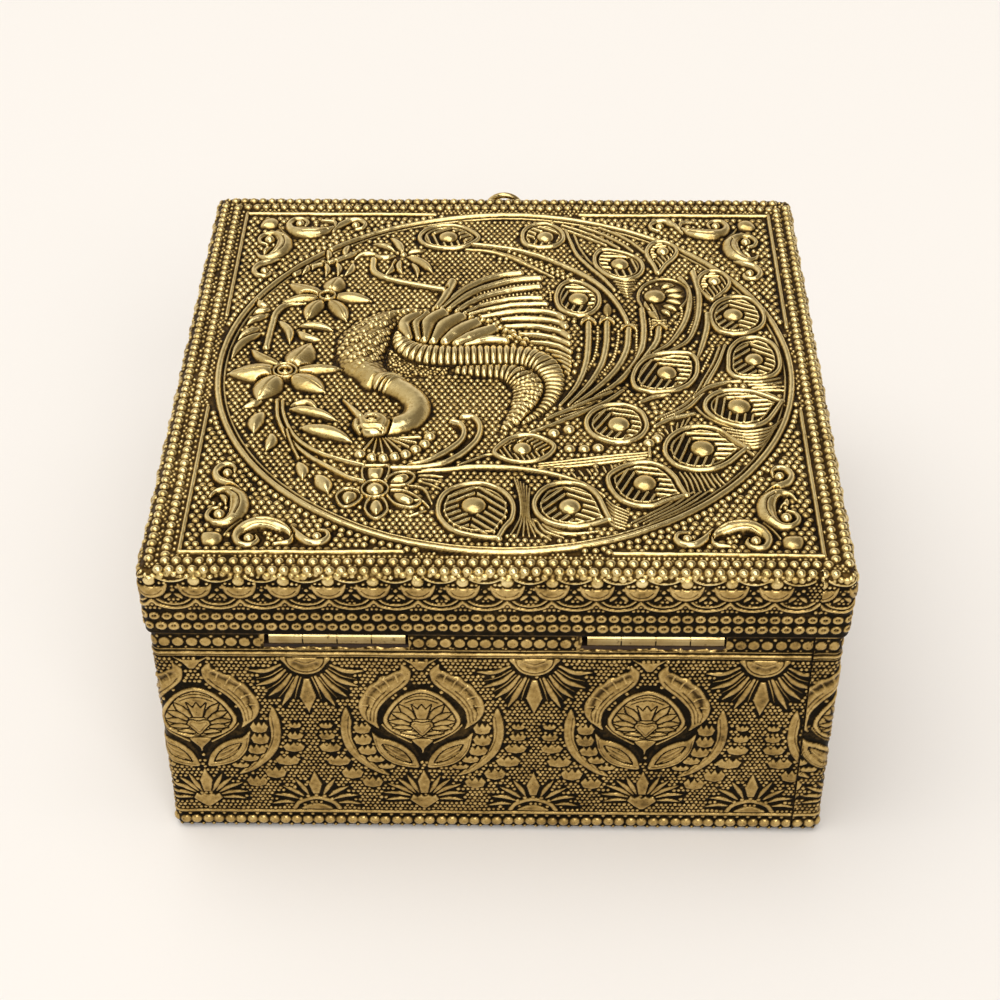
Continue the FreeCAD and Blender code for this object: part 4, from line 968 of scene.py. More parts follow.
def draw_lotus(s):
    """A lotus bulb between flame leaves and crescents, on a fan that stands on the foot line."""
    # bulb and its fan
    body.patch(whole(s, [(0, 47.4), (5.2, 43.6), (8.9, 38.6), (9.3, 35), (6.6, 31.8), (2.4, 29.4),
                         (0, 25.4)]), 0.02, 0.3)
    # smooth shade between the bulb and the leaves under it
    pair(body.patch, s, [(10.8, 33), (9.3, 34.6), (5, 31), (2.4, 29), (0.6, 25), (0.9, 23), (4.2, 28.2),
                         (7, 30), (9.6, 30.8)], 0.12, 0.8)
    ring = whole(s, [(0, 45.1), (3.2, 43.9), (5.7, 41.4), (7.6, 38), (8.2, 35.5), (7, 33.2),
                     (4.4, 31.3), (1.6, 30.2), (0, 29.9)])
    body.patch(ring, 0.3, 0.9)
    body.line(flow(ring, 5, True), 1.1, 0.48, smooth=False, moat=0.25)
    for lift in (0, 1.0):
        body.emboss(whole(s, [(0, 42.6 + lift), (1.8, 42.3 + lift), (3.6, 41.4 + lift)]), 0.36, -0.22,
                    floor=0.12)
    pair(body.line, s, [(8.9, 34.4), (7.4, 32.4), (4.8, 30.3), (2.6, 28.8)], 0.5, 0.34)
    body.patch(whole(s, [(0, 30.1), (2.4, 29.6), (0.5, 27), (0, 25.2)]), 0.4, 0.35)
    body.patch(whole(s, [(0, 35.1), (1.7, 35.5), (2.6, 34.3), (1.6, 32.8), (0, 31)]), 0.46, 0.9,
               crease=(0.6, 0.24))
    body.patch(whole(s, [(1.1, 36.4), (2.2, 40.9), (0.9, 39.3), (0, 40.9)]), 0.4, 0.35, smooth=False)
    for points, width in (
        ([(1.9, 36.6), (3.3, 38.5), (4.9, 40.6)], 2.1), ([(2.7, 35.7), (4.4, 37), (6.6, 38.2)], 2.0),
        ([(3.1, 34.6), (5, 35.2), (7.3, 35.4)], 1.8), ([(2.6, 33.3), (4.4, 33.6), (6.5, 33.5)], 1.5),
        ([(1.2, 31.6), (2.8, 32), (4.7, 32)], 1.2),
    ):
        blade(s, points, width, 0.46, (0.5, 1, 0.9, 0.2), 0.25)
    # flame leaves beside the bulb
    pair(body.patch, s, [(2, 50.4), (2.4, 51.8), (4.1, 53.3), (4.4, 51.6), (5.6, 51), (7.2, 49.8),
                         (8.8, 49.4), (9.8, 47.9), (11.3, 46.8), (12.6, 44.4), (13.9, 41.6), (14, 38.8),
                         (13.1, 36.4), (11.4, 34.6), (9.6, 33.2), (10, 35.4), (9.6, 38.8), (8.2, 41.4),
                         (6.2, 43.9), (4, 46), (2.5, 48)], 0.52, 0.7)
    pair(body.emboss, s, [(4.6, 49.8), (7.2, 48), (9.7, 45.8), (11.5, 43), (12.2, 40)], 2.3, -0.36,
         floor=0.1)
    for start, end in (((5, 48.3), (5.7, 50.2)), ((7, 46.8), (8.2, 48.9)), ((8.8, 45), (10.4, 46.8)),
                       ((10.2, 42.8), (12.4, 43.9)), ((11, 40.2), (13.3, 40.8))):
        pair(body.emboss, s, [start, end], 0.5, 0.24, smooth=False, floor=0.05)
    for points in ([(3.4, 48.6), (4.8, 46.7), (7, 44.6), (9, 42), (10.4, 39), (10.8, 35.6)],
                   [(7.6, 45.3), (9.7, 42.6), (11.2, 39.2), (11.5, 36)],
                   [(11.6, 40.6), (12.4, 38.4), (12.1, 36.2)]):
        pair(body.emboss, s, points, 0.42, -0.28, floor=0.1)
    # outer crescents and the scallops inside them
    pair(body.patch, s, [(16.9, 39.9), (18.2, 36), (18.4, 31.5), (17.5, 27), (15.5, 23.4), (12.5, 20.3),
                         (10, 18.7), (7.8, 18.1), (9, 19.7), (11.4, 22), (13.9, 25), (15.6, 28.5),
                         (16, 32), (15.8, 36)], 0.46, 0.7)
    pair(body.emboss, s, [(16.4, 37), (16.7, 32.4), (16.1, 28.6), (14.4, 24.8), (11.6, 21.4),
                          (9.4, 19.3)], 0.45, -0.24, floor=0.2)
    for a, z, wide, tall in ((13.5, 33.2, 4.2, 3.6), (13.5, 29.6, 4.4, 3.6), (12.5, 26.2, 4.6, 3.2),
                             (10.7, 23.4, 4.4, 2.4), (8.4, 21, 4.2, 1.8)):
        crowns(s, a, z, wide, tall)
    # inner leaf pair with a sunk heart
    pair(body.patch, s, [(1.1, 20.6), (4.2, 20.9), (7.6, 22.4), (10, 25.4), (11, 29), (11.3, 32),
                         (9.6, 30.2), (7, 29.4), (4.4, 27.8), (2.2, 25.2), (1.2, 22.6)], 0.46, 0.7)
    pair(sink, s, [(2.4, 22.2), (5, 22.9), (7.8, 25.2), (9.3, 28.4), (6.6, 27.8), (4, 25.8)], 0.24)
    for points in ([(3.4, 23.2), (5.6, 24.6), (8.2, 27)], [(4, 25), (5.8, 26), (7.6, 27.4)],
                   [(4.4, 23), (6.4, 24.2), (8.2, 26)]):
        pair(body.emboss, s, points, 0.4, 0.2, floor=0.05)
    pair(body.emboss, s, [(1.8, 21.4), (5, 21.9), (8, 23.6), (10, 26.8), (10.6, 30)], 0.35, -0.24,
         floor=0.1)
    # spur under the upper line
    body.patch(whole(s, [(1.9, 54.2), (4.2, 55.2), (2, 53.4), (0.6, 51.4)]), 0.4, 0.35, smooth=False)
    # small cut leaves down both sides
    for a, z, wide, tall in ((21.6, 34, 3.2, 1.9), (21.5, 30.7, 3.9, 2.4), (21, 27, 5.2, 3),
                             (19.3, 22.7, 5.8, 3.4), (16.3, 18.6, 5.2, 3.8), (11.8, 15.7, 5, 3.6)):
        crowns(s, a, z, wide, tall)
    # fan on the lower line
    body.patch(whole(s, [(0, 11), (0.8, 11.6), (1.7, 11), (2.6, 11.6), (3.4, 10), (1.8, 8.4),
                         (0.4, 7.2)]), 0.42, 0.35, smooth=False)
    body.patch(whole(s, [(0.9, 12.2), (1.5, 16), (0, 20)]), 0.42, 0.4, smooth=False)
    for points, width in (
        ([(1.3, 12.4), (2.4, 14.8), (3.8, 18)], 1.3), ([(2.1, 12.3), (3.8, 14.6), (6, 16.8)], 1.3),
        ([(2.8, 12), (5.2, 13.8), (8.4, 15.2)], 1.3), ([(3.3, 11.3), (6, 12.2), (9.4, 12.2)], 1.2),
        ([(3.6, 10.2), (6.2, 10.4), (9, 9.8)], 1.0),
    ):
        blade(s, points, width, 0.4)


def draw_sun(s):
    """Half sun under the upper line, and the lower one that stands on the foot line."""
    body.patch(whole(s, [(0, 49.9), (2.8, 50.8), (4.5, 53), (5, 55.3)]), 0.46, 0.7)
    body.emboss(whole(s, [(0, 50.8), (2.3, 51.5), (3.8, 53.2), (4.2, 55)]), 0.5, -0.3, floor=0.2)
    body.emboss(whole(s, [(0, 52.2), (2.4, 53.2)]), 1.8, -0.26, floor=0.15)
    body.emboss(whole(s, [(0, 53.6), (2.2, 54.4)]), 0.4, -0.2, floor=0.15)
    for a in (-3.3, 3.3):
        body.emboss([(s + a - 0.5, 55), (s + a + 0.5, 55)], 0.9, -0.3, smooth=False, floor=0.2)
    body.patch(whole(s, [(0.6, 48.6), (1.9, 43), (0, 38)]), 0.42, 0.5, smooth=False)
    for points, width in (
        ([(2, 49.2), (3.6, 45), (5.8, 40.4)], 1.4), ([(3.4, 49.8), (5.4, 46.4), (8.6, 43.2)], 1.3),
        ([(4.6, 51.1), (7.2, 48.2), (11.2, 46.4)], 1.3), ([(5.5, 52.8), (8.8, 50.9), (12.6, 51)], 1.2),
    ):
        blade(s, points, width, 0.4, (0.6, 1, 1.1, 0.3))
    for points in ([(1.2, 49), (2.2, 45.6), (2.9, 42.4)], [(2.8, 49), (4.5, 45.8), (6.4, 42.8)],
                   [(4.1, 50.2), (6.3, 47.3), (8.8, 45.2)], [(5.1, 51.7), (8, 49.4), (11, 48.4)]):
        blade(s, points, 0.45, 0.24, (1, 1, 0.6))
    body.line(whole(s, [(0, 10.2), (3.8, 8.8), (5.4, 6.4)]), 1.2, 0.42)
    for a, z in ((-3.6, 9.7), (-1.9, 10.7), (0, 11), (1.9, 10.7), (3.6, 9.7)):
        body.ball((s + a, z), 0.55, 0.36, moat=None)
    body.patch(whole(s, [(0, 8.5), (2.4, 7.7), (3.4, 6.4)]), 0.38, 0.4)
    body.patch(whole(s, [(0.8, 11.6), (1.6, 14.8), (0, 19.4)]), 0.42, 0.4, smooth=False)
    for points, width in (
        ([(1.8, 11.4), (2.8, 13.6), (4.6, 16.6)], 1.3), ([(3, 10.8), (5, 12.6), (7.6, 14.2)], 1.3),
        ([(4.2, 9.9), (6.6, 11), (9.6, 11.2)], 1.2), ([(5.2, 8.6), (7.6, 8.9), (10.4, 8.2)], 1.1),
    ):
        blade(s, points, width, 0.4)


def draw_body():
    """Figures, lines and bead rows of a body sheet; the parts beyond its ends fall away."""
    for k in range(-1, 13):
        draw_lotus(LOTUS_FIRST + LOTUS_PITCH * k)
        draw_sun(LOTUS_FIRST + LOTUS_PITCH * (k + 0.5))
    for z, width, height in ((62.0, 0.6, 0.34), (57.4, 0.5, 0.26), (56.3, 0.9, 0.46), (55.5, 0.4, 0.26),
                             (5.8, 1.1, 0.46)):
        body.line([(-1, z), (BODY_LOOP + 1, z)], width, height, smooth=False, moat=0.2)
    pitch = BODY_LOOP / RAIL_BEADS
    for i in range(RAIL_BEADS):
        s = (i + 0.5) * pitch + 0.12 * math.sin(5 * i)
        body.ball((s, 59.5), 1.26, 0.36, moat=None, flat=0.25)
        body.ball((s + pitch / 2, 61.1), 0.5, 0.26, moat=None)
        body.ball((s + pitch / 2, 58), 0.42, 0.22, moat=None)
    pitch = BODY_LOOP / FOOT_BEADS
    for i in range(FOOT_BEADS):
        s = (i + 0.5) * pitch + 0.1 * math.sin(3 * i)
        body.ball((s, 2.85), 1.3, 0.8, moat=None, flat=0.6)
        body.ball((s + pitch / 2, 4.8), 0.5, 0.34, moat=None)
        body.ball((s + pitch / 2, 1.1), 0.5, 0.34, moat=None)


for body in (back_sheet, side_sheet):
    draw_body()
    body.dots(1.08, 0.49, 0.34, lambda s, z: (z > 6.6) & (z < 55.2), 0.08)
    body.dots(0.95, 0.4, 0.24, lambda s, z: (z > 57.7) & (z < 61.7))


# Materials
def material(name):
    m = bpy.data.materials.new(name)
    m.use_nodes = True
    tree = m.node_tree
    return m, tree, tree.nodes["Principled BSDF"]


def add(tree, kind, inputs=None, **settings):
    """A shader node; inputs are sockets to link or values to set."""
    node = tree.nodes.new(kind)
    for key, value in settings.items():
        setattr(node, key, value)
    for key, value in (inputs or {}).items():
        if isinstance(value, bpy.types.NodeSocket):
            tree.links.new(value, node.inputs[key])
        else:
            node.inputs[key].default_value = value
    return node


def noise(tree, scale, detail=3.0, rough=0.55, stretch=None):
    where = add(tree, "ShaderNodeTexCoord").outputs["Object"]
    if stretch:
        where = add(tree, "ShaderNodeMapping", {"Vector": where, "Scale": stretch}).outputs[0]
    inputs = {"Vector": where, "Scale": scale, "Detail": detail, "Roughness": rough}
    return add(tree, "ShaderNodeTexNoise", inputs).outputs["Fac"]


def ramp(tree, value, low, high, out_low=0.0, out_high=1.0):
    inputs = {0: value, 1: low, 2: high, 3: out_low, 4: out_high}
    return add(tree, "ShaderNodeMapRange", inputs).outputs[0]


def maths(tree, kind, a, b):
    return add(tree, "ShaderNodeMath", {0: a, 1: b}, operation=kind).outputs[0]


def blend(tree, share, a, b):
    return add(tree, "ShaderNodeMix", {0: share, 6: a, 7: b}, data_type="RGBA").outputs[2]


def roughen(tree, shader, strength, distance, height):
    bump = add(tree, "ShaderNodeBump", {"Strength": strength, "Distance": distance, "Height": height})
    tree.links.new(bump.outputs[0], shader.inputs["Normal"])


def embossed_brass(name, stops, rough):
    """Antiqued brass: a vertex attribute of patina and painted highlight is 0 in the hollows and 1 on
    what stands out.
    """
    m, tree, shader = material(name)
    patina_and_painted_highlight = add(tree, "ShaderNodeAttribute", attribute_name="patina_and_painted_highlight").outputs["Fac"]
    grime = noise(tree, 900.0, 4.0, 0.6)
    cloud = noise(tree, 60.0, 3.0)
    pits = noise(tree, 2400.0, 2.0)
    shown = maths(tree, "ADD", patina_and_painted_highlight, ramp(tree, grime, 0.3, 0.7, -0.13, 0.1))
    shown = maths(tree, "ADD", shown, ramp(tree, cloud, 0.3, 0.7, -0.1, 0.08))
    shown = maths(tree, "SUBTRACT", shown, ramp(tree, pits, 0.62, 0.74, 0.0, 0.4))
    tone = add(tree, "ShaderNodeValToRGB", {"Fac": shown})
    marks = tone.color_ramp.elements
    marks[0].position, marks[0].color = stops[0]
    marks[1].position, marks[1].color = stops[-1]
    for place, colour in stops[1:-1]:
        marks.new(place).color = colour
    tree.links.new(tone.outputs["Color"], shader.inputs["Base Color"])
    shader.inputs["Metallic"].default_value = 1.0
    gloss = maths(tree, "ADD", ramp(tree, shown, 0.1, 0.9, 0.52, rough),
                  ramp(tree, grime, 0.3, 0.7, 0.05, -0.04))
    tree.links.new(gloss, shader.inputs["Roughness"])
    roughen(tree, shader, 0.3, 0.00006, grime)
    return m


def plain_brass(name, colour, stain, rough, stretch, shade=0.0):
    """Worn plain brass; painted shade darkens what does not face up."""
    m, tree, shader = material(name)
    cloud = noise(tree, 160.0, 4.0, 0.6)
    scratch = noise(tree, 900.0, 3.0, 0.6, stretch)
    spots = noise(tree, 700.0, 2.0)
    tone = blend(tree, ramp(tree, cloud, 0.42, 0.72), colour, stain)
    tone = blend(tree, ramp(tree, spots, 0.62, 0.74), tone, [c * 0.35 for c in stain[:3]] + [1])
    # painted shade: the tone darkens as the surface turns away from facing up
    if shade:
        facing = add(tree, "ShaderNodeNewGeometry").outputs["Normal"]
        up = add(tree, "ShaderNodeSeparateXYZ", {0: facing}).outputs["Z"]
        tone = blend(tree, ramp(tree, up, 0.75, 0.2, 0.0, shade), tone, (0.1, 0.06, 0.02, 1))
    tree.links.new(tone, shader.inputs["Base Color"])
    shader.inputs["Metallic"].default_value = 1.0
    tree.links.new(ramp(tree, scratch, 0.3, 0.7, rough - 0.07, rough + 0.12), shader.inputs["Roughness"])
    roughen(tree, shader, 0.2, 0.00006, scratch)
    return m


def stained_wood_painted_shade(name):
    """Dark stained wood with grain along X and open pores, taken near black as painted shade for the gaps
    and hinge notches where it shows.
    """
    m, tree, shader = material(name)
    grain = noise(tree, 260.0, 6.0, 0.65, (0.12, 1.0, 1.0))
    pores = noise(tree, 1500.0, 2.0, 0.5, (0.06, 1.0, 1.0))
    tone = blend(tree, ramp(tree, grain, 0.3, 0.7), (0.012, 0.007, 0.004, 1), (0.04, 0.022, 0.012, 1))
    tone = blend(tree, ramp(tree, pores, 0.58, 0.7), tone, (0.006, 0.004, 0.003, 1))
    tree.links.new(tone, shader.inputs["Base Color"])
    tree.links.new(ramp(tree, grain, 0.3, 0.7, 0.75, 0.6), shader.inputs["Roughness"])
    shader.inputs["Specular IOR Level"].default_value = 0.25
    roughen(tree, shader, 0.35, 0.00015, grain)
    return m


def pile_cloth(name, low, high, scale, rough, sheen):
    """Velvet or felt: clouded pile with a soft sheen."""
    m, tree, shader = material(name)
    pile = noise(tree, scale, 3.0, 0.7)
    brushed = noise(tree, 60.0, 4.0, 0.6)
    share = maths(tree, "ADD", ramp(tree, pile, 0.3, 0.7, 0.0, 0.55),
                  ramp(tree, brushed, 0.35, 0.65, 0.0, 0.45))
    tree.links.new(blend(tree, share, low, high), shader.inputs["Base Color"])
    tree.links.new(ramp(tree, pile, 0.3, 0.7, rough, rough - 0.12), shader.inputs["Roughness"])
    shader.inputs["Sheen Weight"].default_value = sheen
    shader.inputs["Sheen Roughness"].default_value = 0.4
    roughen(tree, shader, 0.6, 0.0003, pile)
    return m


top_brass = embossed_brass("top_brass", (
    (0.0, (0.012, 0.008, 0.004, 1)), (0.3, (0.1, 0.055, 0.014, 1)), (0.6, (0.5, 0.35, 0.115, 1)),
    (1.0, (0.88, 0.72, 0.36, 1))), 0.19)
# The sides' brass is a darker copy of the top's: painted shade on the upright sides.
side_brass_painted_shade = embossed_brass("side_brass_painted_shade", (
    (0.0, (0.011, 0.008, 0.004, 1)), (0.3, (0.075, 0.045, 0.014, 1)), (0.62, (0.36, 0.235, 0.075, 1)),
    (1.0, (0.62, 0.445, 0.175, 1))), 0.25)
# the hinge, hasp and catch brass gets painted shade where it does not face up
hinge_brass = plain_brass("hinge_brass", (0.74, 0.57, 0.26, 1), (0.5, 0.35, 0.13, 1), 0.15,
                          (0.08, 1, 1), 0.6)
nail_brass = plain_brass("nail_brass", (0.5, 0.36, 0.14, 1), (0.22, 0.14, 0.05, 1), 0.32, (1, 1, 0.3))
brad_steel = plain_brass("brad_steel", (0.42, 0.4, 0.38, 1), (0.16, 0.12, 0.09, 1), 0.38, (1, 1, 0.3))
dark_wood = stained_wood_painted_shade("dark_wood")
velvet = pile_cloth("velvet", (0.055, 0.004, 0.008, 1), (0.22, 0.016, 0.03, 1), 2600.0, 0.9, 0.55)
felt = pile_cloth("felt", (0.006, 0.007, 0.006, 1), (0.03, 0.032, 0.028, 1), 1500.0, 0.97, 0.15)

# The three skins: body they ride, node they replace, record slot, look
TOP_SKIN = ("lid", "lid_top_cladding", "embossed_brass", top_brass)
RIM_SKIN = ("lid", "lid_rim_cladding", "embossed_brass", side_brass_painted_shade)
BODY_SKIN = ("box_body", "body_cladding", "embossed_brass", side_brass_painted_shade)


# Meshes
def grid_piece(name, outer, inner, flip, normals, patina_and_painted_highlight, skin):
    """A closed piece: a fine outer grid [rows, cols], and a plain inner side [few rows, cols]."""
    owner, node, slot, look = skin
    rows, cols = outer.shape[:2]
    back = inner.shape[0]
    verts = np.concatenate([outer.reshape(-1, 3), inner.reshape(-1, 3)]) * MM
    index = np.arange(rows * cols).reshape(rows, cols)
    behind = rows * cols + np.arange(back * cols).reshape(back, cols)
    quads = []

    def join(a, b):
        quads.append(np.stack([a[:-1], a[1:], b[1:], b[:-1]], 1))

    for r in range(rows - 1):
        join(index[r], index[r + 1])
    join(index[-1], behind[-1])
    for r in range(back - 1, 0, -1):
        join(behind[r], behind[r - 1])
    join(behind[0], index[0])
    quads = np.concatenate(quads)
    if flip:
        quads = quads[:, ::-1]
    first = np.concatenate([index[:, 0][::-1], behind[:, 0]])
    last = np.concatenate([index[:, -1], behind[:, -1][::-1]])
    caps = [c if flip else c[::-1] for c in (first, last)]
    sizes = [4] * len(quads) + [len(c) for c in caps]
    loops = np.concatenate([quads.ravel()] + caps)
    mesh = bpy.data.meshes.new(name)
    mesh.vertices.add(len(verts))
    mesh.vertices.foreach_set("co", verts.astype(np.float32).ravel())
    mesh.loops.add(len(loops))
    mesh.loops.foreach_set("vertex_index", loops.astype(np.int32))
    mesh.polygons.add(len(sizes))
    mesh.polygons.foreach_set("loop_start", np.concatenate([[0], np.cumsum(sizes)[:-1]]).astype(np.int32))
    mesh.update(calc_edges=True)
    mesh.polygons.foreach_set("use_smooth", np.ones(len(sizes), bool))
    shade = mesh.attributes.new("patina_and_painted_highlight", "FLOAT", "POINT")
    shown = np.concatenate([patina_and_painted_highlight.ravel(), np.full(back * cols, 0.4)])
    shade.data.foreach_set("value", shown.astype(np.float32))
    u = np.tile(np.linspace(0, 1, cols), (rows, 1))
    v = np.tile(np.linspace(0.05, 1, rows)[:, None], (1, cols))
    bu = np.tile(np.linspace(0, 1, cols), (back, 1))
    bv = np.tile(np.linspace(0, 0.04, back)[:, None], (1, cols))
    uv = np.stack([np.concatenate([u.ravel(), bu.ravel()]), np.concatenate([v.ravel(), bv.ravel()])], 1)
    layer = mesh.uv_layers.new(name="OFBake")
    layer.data.foreach_set("uv", uv[loops].astype(np.float32).ravel())
    mesh.validate()
    hidden = np.tile(normals[rows // 2][None], (back, 1, 1))
    every = np.concatenate([normals.reshape(-1, 3), -hidden.reshape(-1, 3)])
    mesh.normals_split_custom_set_from_vertices(every.tolist())
    mesh.materials.append(look)
    obj = bpy.data.objects.new(name, mesh)
    bpy.context.scene.collection.objects.link(obj)
    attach(obj, owner)
    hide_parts(node)


def grid_normals(points, flip):
    """Unit normals of a grid of points."""
    across = np.gradient(points, axis=1)
    up = np.gradient(points, axis=0)
    n = np.cross(up, across) if flip else np.cross(across, up)
    return n / np.maximum(np.linalg.norm(n, axis=2, keepdims=True), 1e-12)


def wear_and_painted_highlight(relief, base, near, wide, tall=0.0):
    """How bright the brass shows: dark in hollows and beside edges as patina, bare on what stands out as
    wear, with painted highlight on edges and tall forms.
    """
    h = relief.height
    # painted highlight: tall lightens the brass the higher it stands; the near term lightens edges and
    # small forms and darkens beside them as patina
    out = base + tall * h
    for reach, gain in ((0.9, near), (4.0, wide)):
        cells = max(1, int(round(reach / relief.cell / 2)))
        out += gain * (h - box_blur(box_blur(h, cells), cells))
    return np.clip(out, 0, 1)


def rubbed_and_painted_highlight(relief, low, high):
    """For stamped sheet: dark ground and creases as patina, clouded brass on the forms, their edges bare
    as wear and lit by a painted highlight.
    """
    h = relief.height
    s, w = np.meshgrid(relief.a, relief.b)
    cells = max(1, int(round(0.45 / relief.cell)))
    edge = h - box_blur(box_blur(h, cells), cells)
    cloud = 0.12 * mottle(s, w, 3.1, 51) + 0.1 * mottle(s, w, 0.9, 52)
    # the edge term lightens convex edges and small forms as wear and painted highlight, and darkens
    # creases as patina
    return np.clip(smooth_step(low, high, h) * (0.64 + cloud + 1.7 * edge), 0, 1)


def dents(x, y, seed):
    """The unevenness of beaten sheet, in millimetres."""
    wide = 0.1 * mottle(x, y, 9.0, seed)
    return wide + 0.05 * mottle(x, y, 2.3, seed + 1) + 0.025 * mottle(x, y, 0.9, seed + 2)


def lid_top_pieces():
    """The lid's top in twelve pieces: rows a to d from the near side, columns 1 to 3."""
    u, v = np.meshgrid(top.a, top.b)
    shape = box_blur(top.height, 1) * 0.25 + top.height * 0.75
    z = np.maximum(LID_TOP - TOP_SINK + shape + dents(u, v, 2), LID_TOP - SHEET + 0.06)
    points = np.stack([-u, -v, z], 2)
    normals = grid_normals(points, False)
    patina_and_painted_highlight = np.maximum(wear_and_painted_highlight(top, 0.4, 2.2, 0.35, 0.14), 0.09 + 0.13 * on_edge(u, v))
    across = np.linspace(0, len(top.a) - 1, 4).round().astype(int)
    down = np.linspace(0, len(top.b) - 1, 5).round().astype(int)
    for i in range(4):
        for j in range(3):
            r = slice(down[i], down[i + 1] + 1)
            c = slice(across[j], across[j + 1] + 1)
            part = points[r, c]
            under = part[[0, -1]].copy()
            under[:, :, 2] = LID_TOP - SHEET - TOP_SINK
            grid_piece(f"lid_top_{'abcd'[i]}{j + 1}", part, under, False, normals[r, c], patina_and_painted_highlight[r, c],
                       TOP_SKIN)


def round_square(s, half, corner, inset):
    """A point of a rounded square and its outward side; s goes from the seam on the back to +X."""
    straight = 2 * (half - corner)
    turn = math.pi / 2 * corner
    loop = 4 * (straight + turn)
    s = np.mod(s + (SEAM_X + straight / 2), loop)
    side = np.minimum((s // (straight + turn)).astype(int), 3)
    rest = s - side * (straight + turn)
    on_turn = rest > straight
    along = np.where(on_turn, straight / 2, rest - straight / 2)
    angle = np.where(on_turn, (rest - straight) / corner, 0.0)
    reach = corner - inset
    x = along + reach * np.sin(angle)
    y = half - corner + reach * np.cos(angle)
    nx = np.sin(angle)
    ny = np.cos(angle)
    heading = -side * math.pi / 2
    c, d = np.cos(heading), np.sin(heading)
    return x * c - y * d, x * d + y * c, nx * c - ny * d, nx * d + ny * c


def sweep(s, w, profile, half, corner, height):
    """Points of an embossed band: profile(w) gives inset, level and the lean of the face."""
    inset, level, lean_out, lean_up = profile(w)
    s2, inset2 = np.meshgrid(s, inset)
    x, y, nx, ny = round_square(s2, half, corner, inset2)
    out = height * lean_out[:, None]
    return np.stack([x + nx * out, y + ny * out, level[:, None] + height * lean_up[:, None]], 2)


def lid_profile(w):
    """The lid's side and its rounded upper edge."""
    angle = np.clip((w - RIM_SIDE) / LID_EDGE, 0, math.pi / 2)
    inset = LID_EDGE * (1 - np.cos(angle))
    level = np.minimum(BAND_LOW + w, LID_TOP - LID_EDGE) + LID_EDGE * np.sin(angle)
    return inset, level, np.cos(angle), np.sin(angle)


BODY_EASE = 0.5


def body_profile(z):
    """The body's side with eased upper and lower edges."""
    low = np.clip((BODY_LOW + BODY_EASE - z) / BODY_EASE, 0, 1)
    high = np.clip((z - BODY_HIGH + BODY_EASE) / BODY_EASE, 0, 1)
    lean = np.clip(low + high, 0, 1) * math.pi / 2
    inset = BODY_EASE * (1 - np.cos(lean))
    level = np.clip(z, BODY_LOW + BODY_EASE, BODY_HIGH - BODY_EASE)
    level = level + BODY_EASE * np.sin(lean) * np.sign(high - low)
    return inset, level, np.cos(lean), np.sin(lean) * np.sign(high - low)


def corner_marks(half, corner):
    """Places along a loop of the middles of the four corners, from the seam on."""
    straight = 2 * (half - corner)
    turn = math.pi / 2 * corner
    first = straight / 2 - SEAM_X + turn / 2
    return [first + k * (straight + turn) for k in range(4)]


def side_runs(half, corner):
    """The loop cut at the corners and at the seam: name, start, end."""
    m = corner_marks(half, corner)
    return (("back", 0.0, m[0]), ("left", m[0], m[1]), ("front", m[1], m[2]), ("right", m[2], m[3]),
            ("seam", m[3], loop_length(half, corner)))


def cut(values, start, end):
    return slice(int(np.argmin(abs(values - start))), int(np.argmin(abs(values - end))) + 1)


def inner_side(s, places, half, corner):
    """The plain inner face of a band, through (inset, level) places."""
    out = []
    for inset, level in places:
        x, y, _, _ = round_square(s, half, corner, np.full(len(s), inset))
        out.append(np.stack([x, y, np.full(len(s), level)], 1))
    return np.stack(out)


def lid_rim_pieces():
    """The band round the lid, and the fold of the top sheet above it, cut at corners and seam."""
    shape = box_blur(rim.height, 1) * 0.3 + rim.height * 0.7
    fade = smooth_step(0, 0.5, rim.b)[:, None]
    s, w = np.meshgrid(rim.a, rim.b)
    shape = shape * fade - SIDE_SINK + 0.8 * dents(s, w, 4)
    points = sweep(rim.a, rim.b, lid_profile, LID_HALF, LID_CORNER, shape)
    normals = grid_normals(points, True)
    patina_and_painted_highlight = np.maximum(rubbed_and_painted_highlight(rim, 0.1, 0.3), 0.22 * smooth_step(RIM_SIDE - 0.5, RIM_SIDE + 1.5, w))
    fold = int(np.argmin(abs(rim.b - (BAND_HIGH - BAND_LOW))))
    for name, start, end in side_runs(LID_HALF, LID_CORNER):
        c = cut(rim.a, start, end)
        low = inner_side(rim.a[c], ((0.7, BAND_LOW), (0.7, BAND_HIGH)), LID_HALF, LID_CORNER)
        band = slice(fold + 1)
        grid_piece(f"lid_band_{name}", points[band, c], low, True, normals[band, c], patina_and_painted_highlight[band, c],
                   RIM_SKIN)
        high = inner_side(rim.a[c], ((0.7, BAND_HIGH), (0.7, LID_TOP - 1.6), (LID_EDGE, LID_TOP - 0.7)),
                          LID_HALF, LID_CORNER)
        grid_piece(f"lid_fold_{name}", points[fold:, c], high, True, normals[fold:, c], patina_and_painted_highlight[fold:, c],
                   TOP_SKIN)


def notches():
    """Runs of the hinge notches along the back, from the seam on."""
    return [(sign * HINGE_X - NOTCH_LEFT - SEAM_X, sign * HINGE_X + NOTCH_RIGHT - SEAM_X)
            for sign in (-1, 1)]


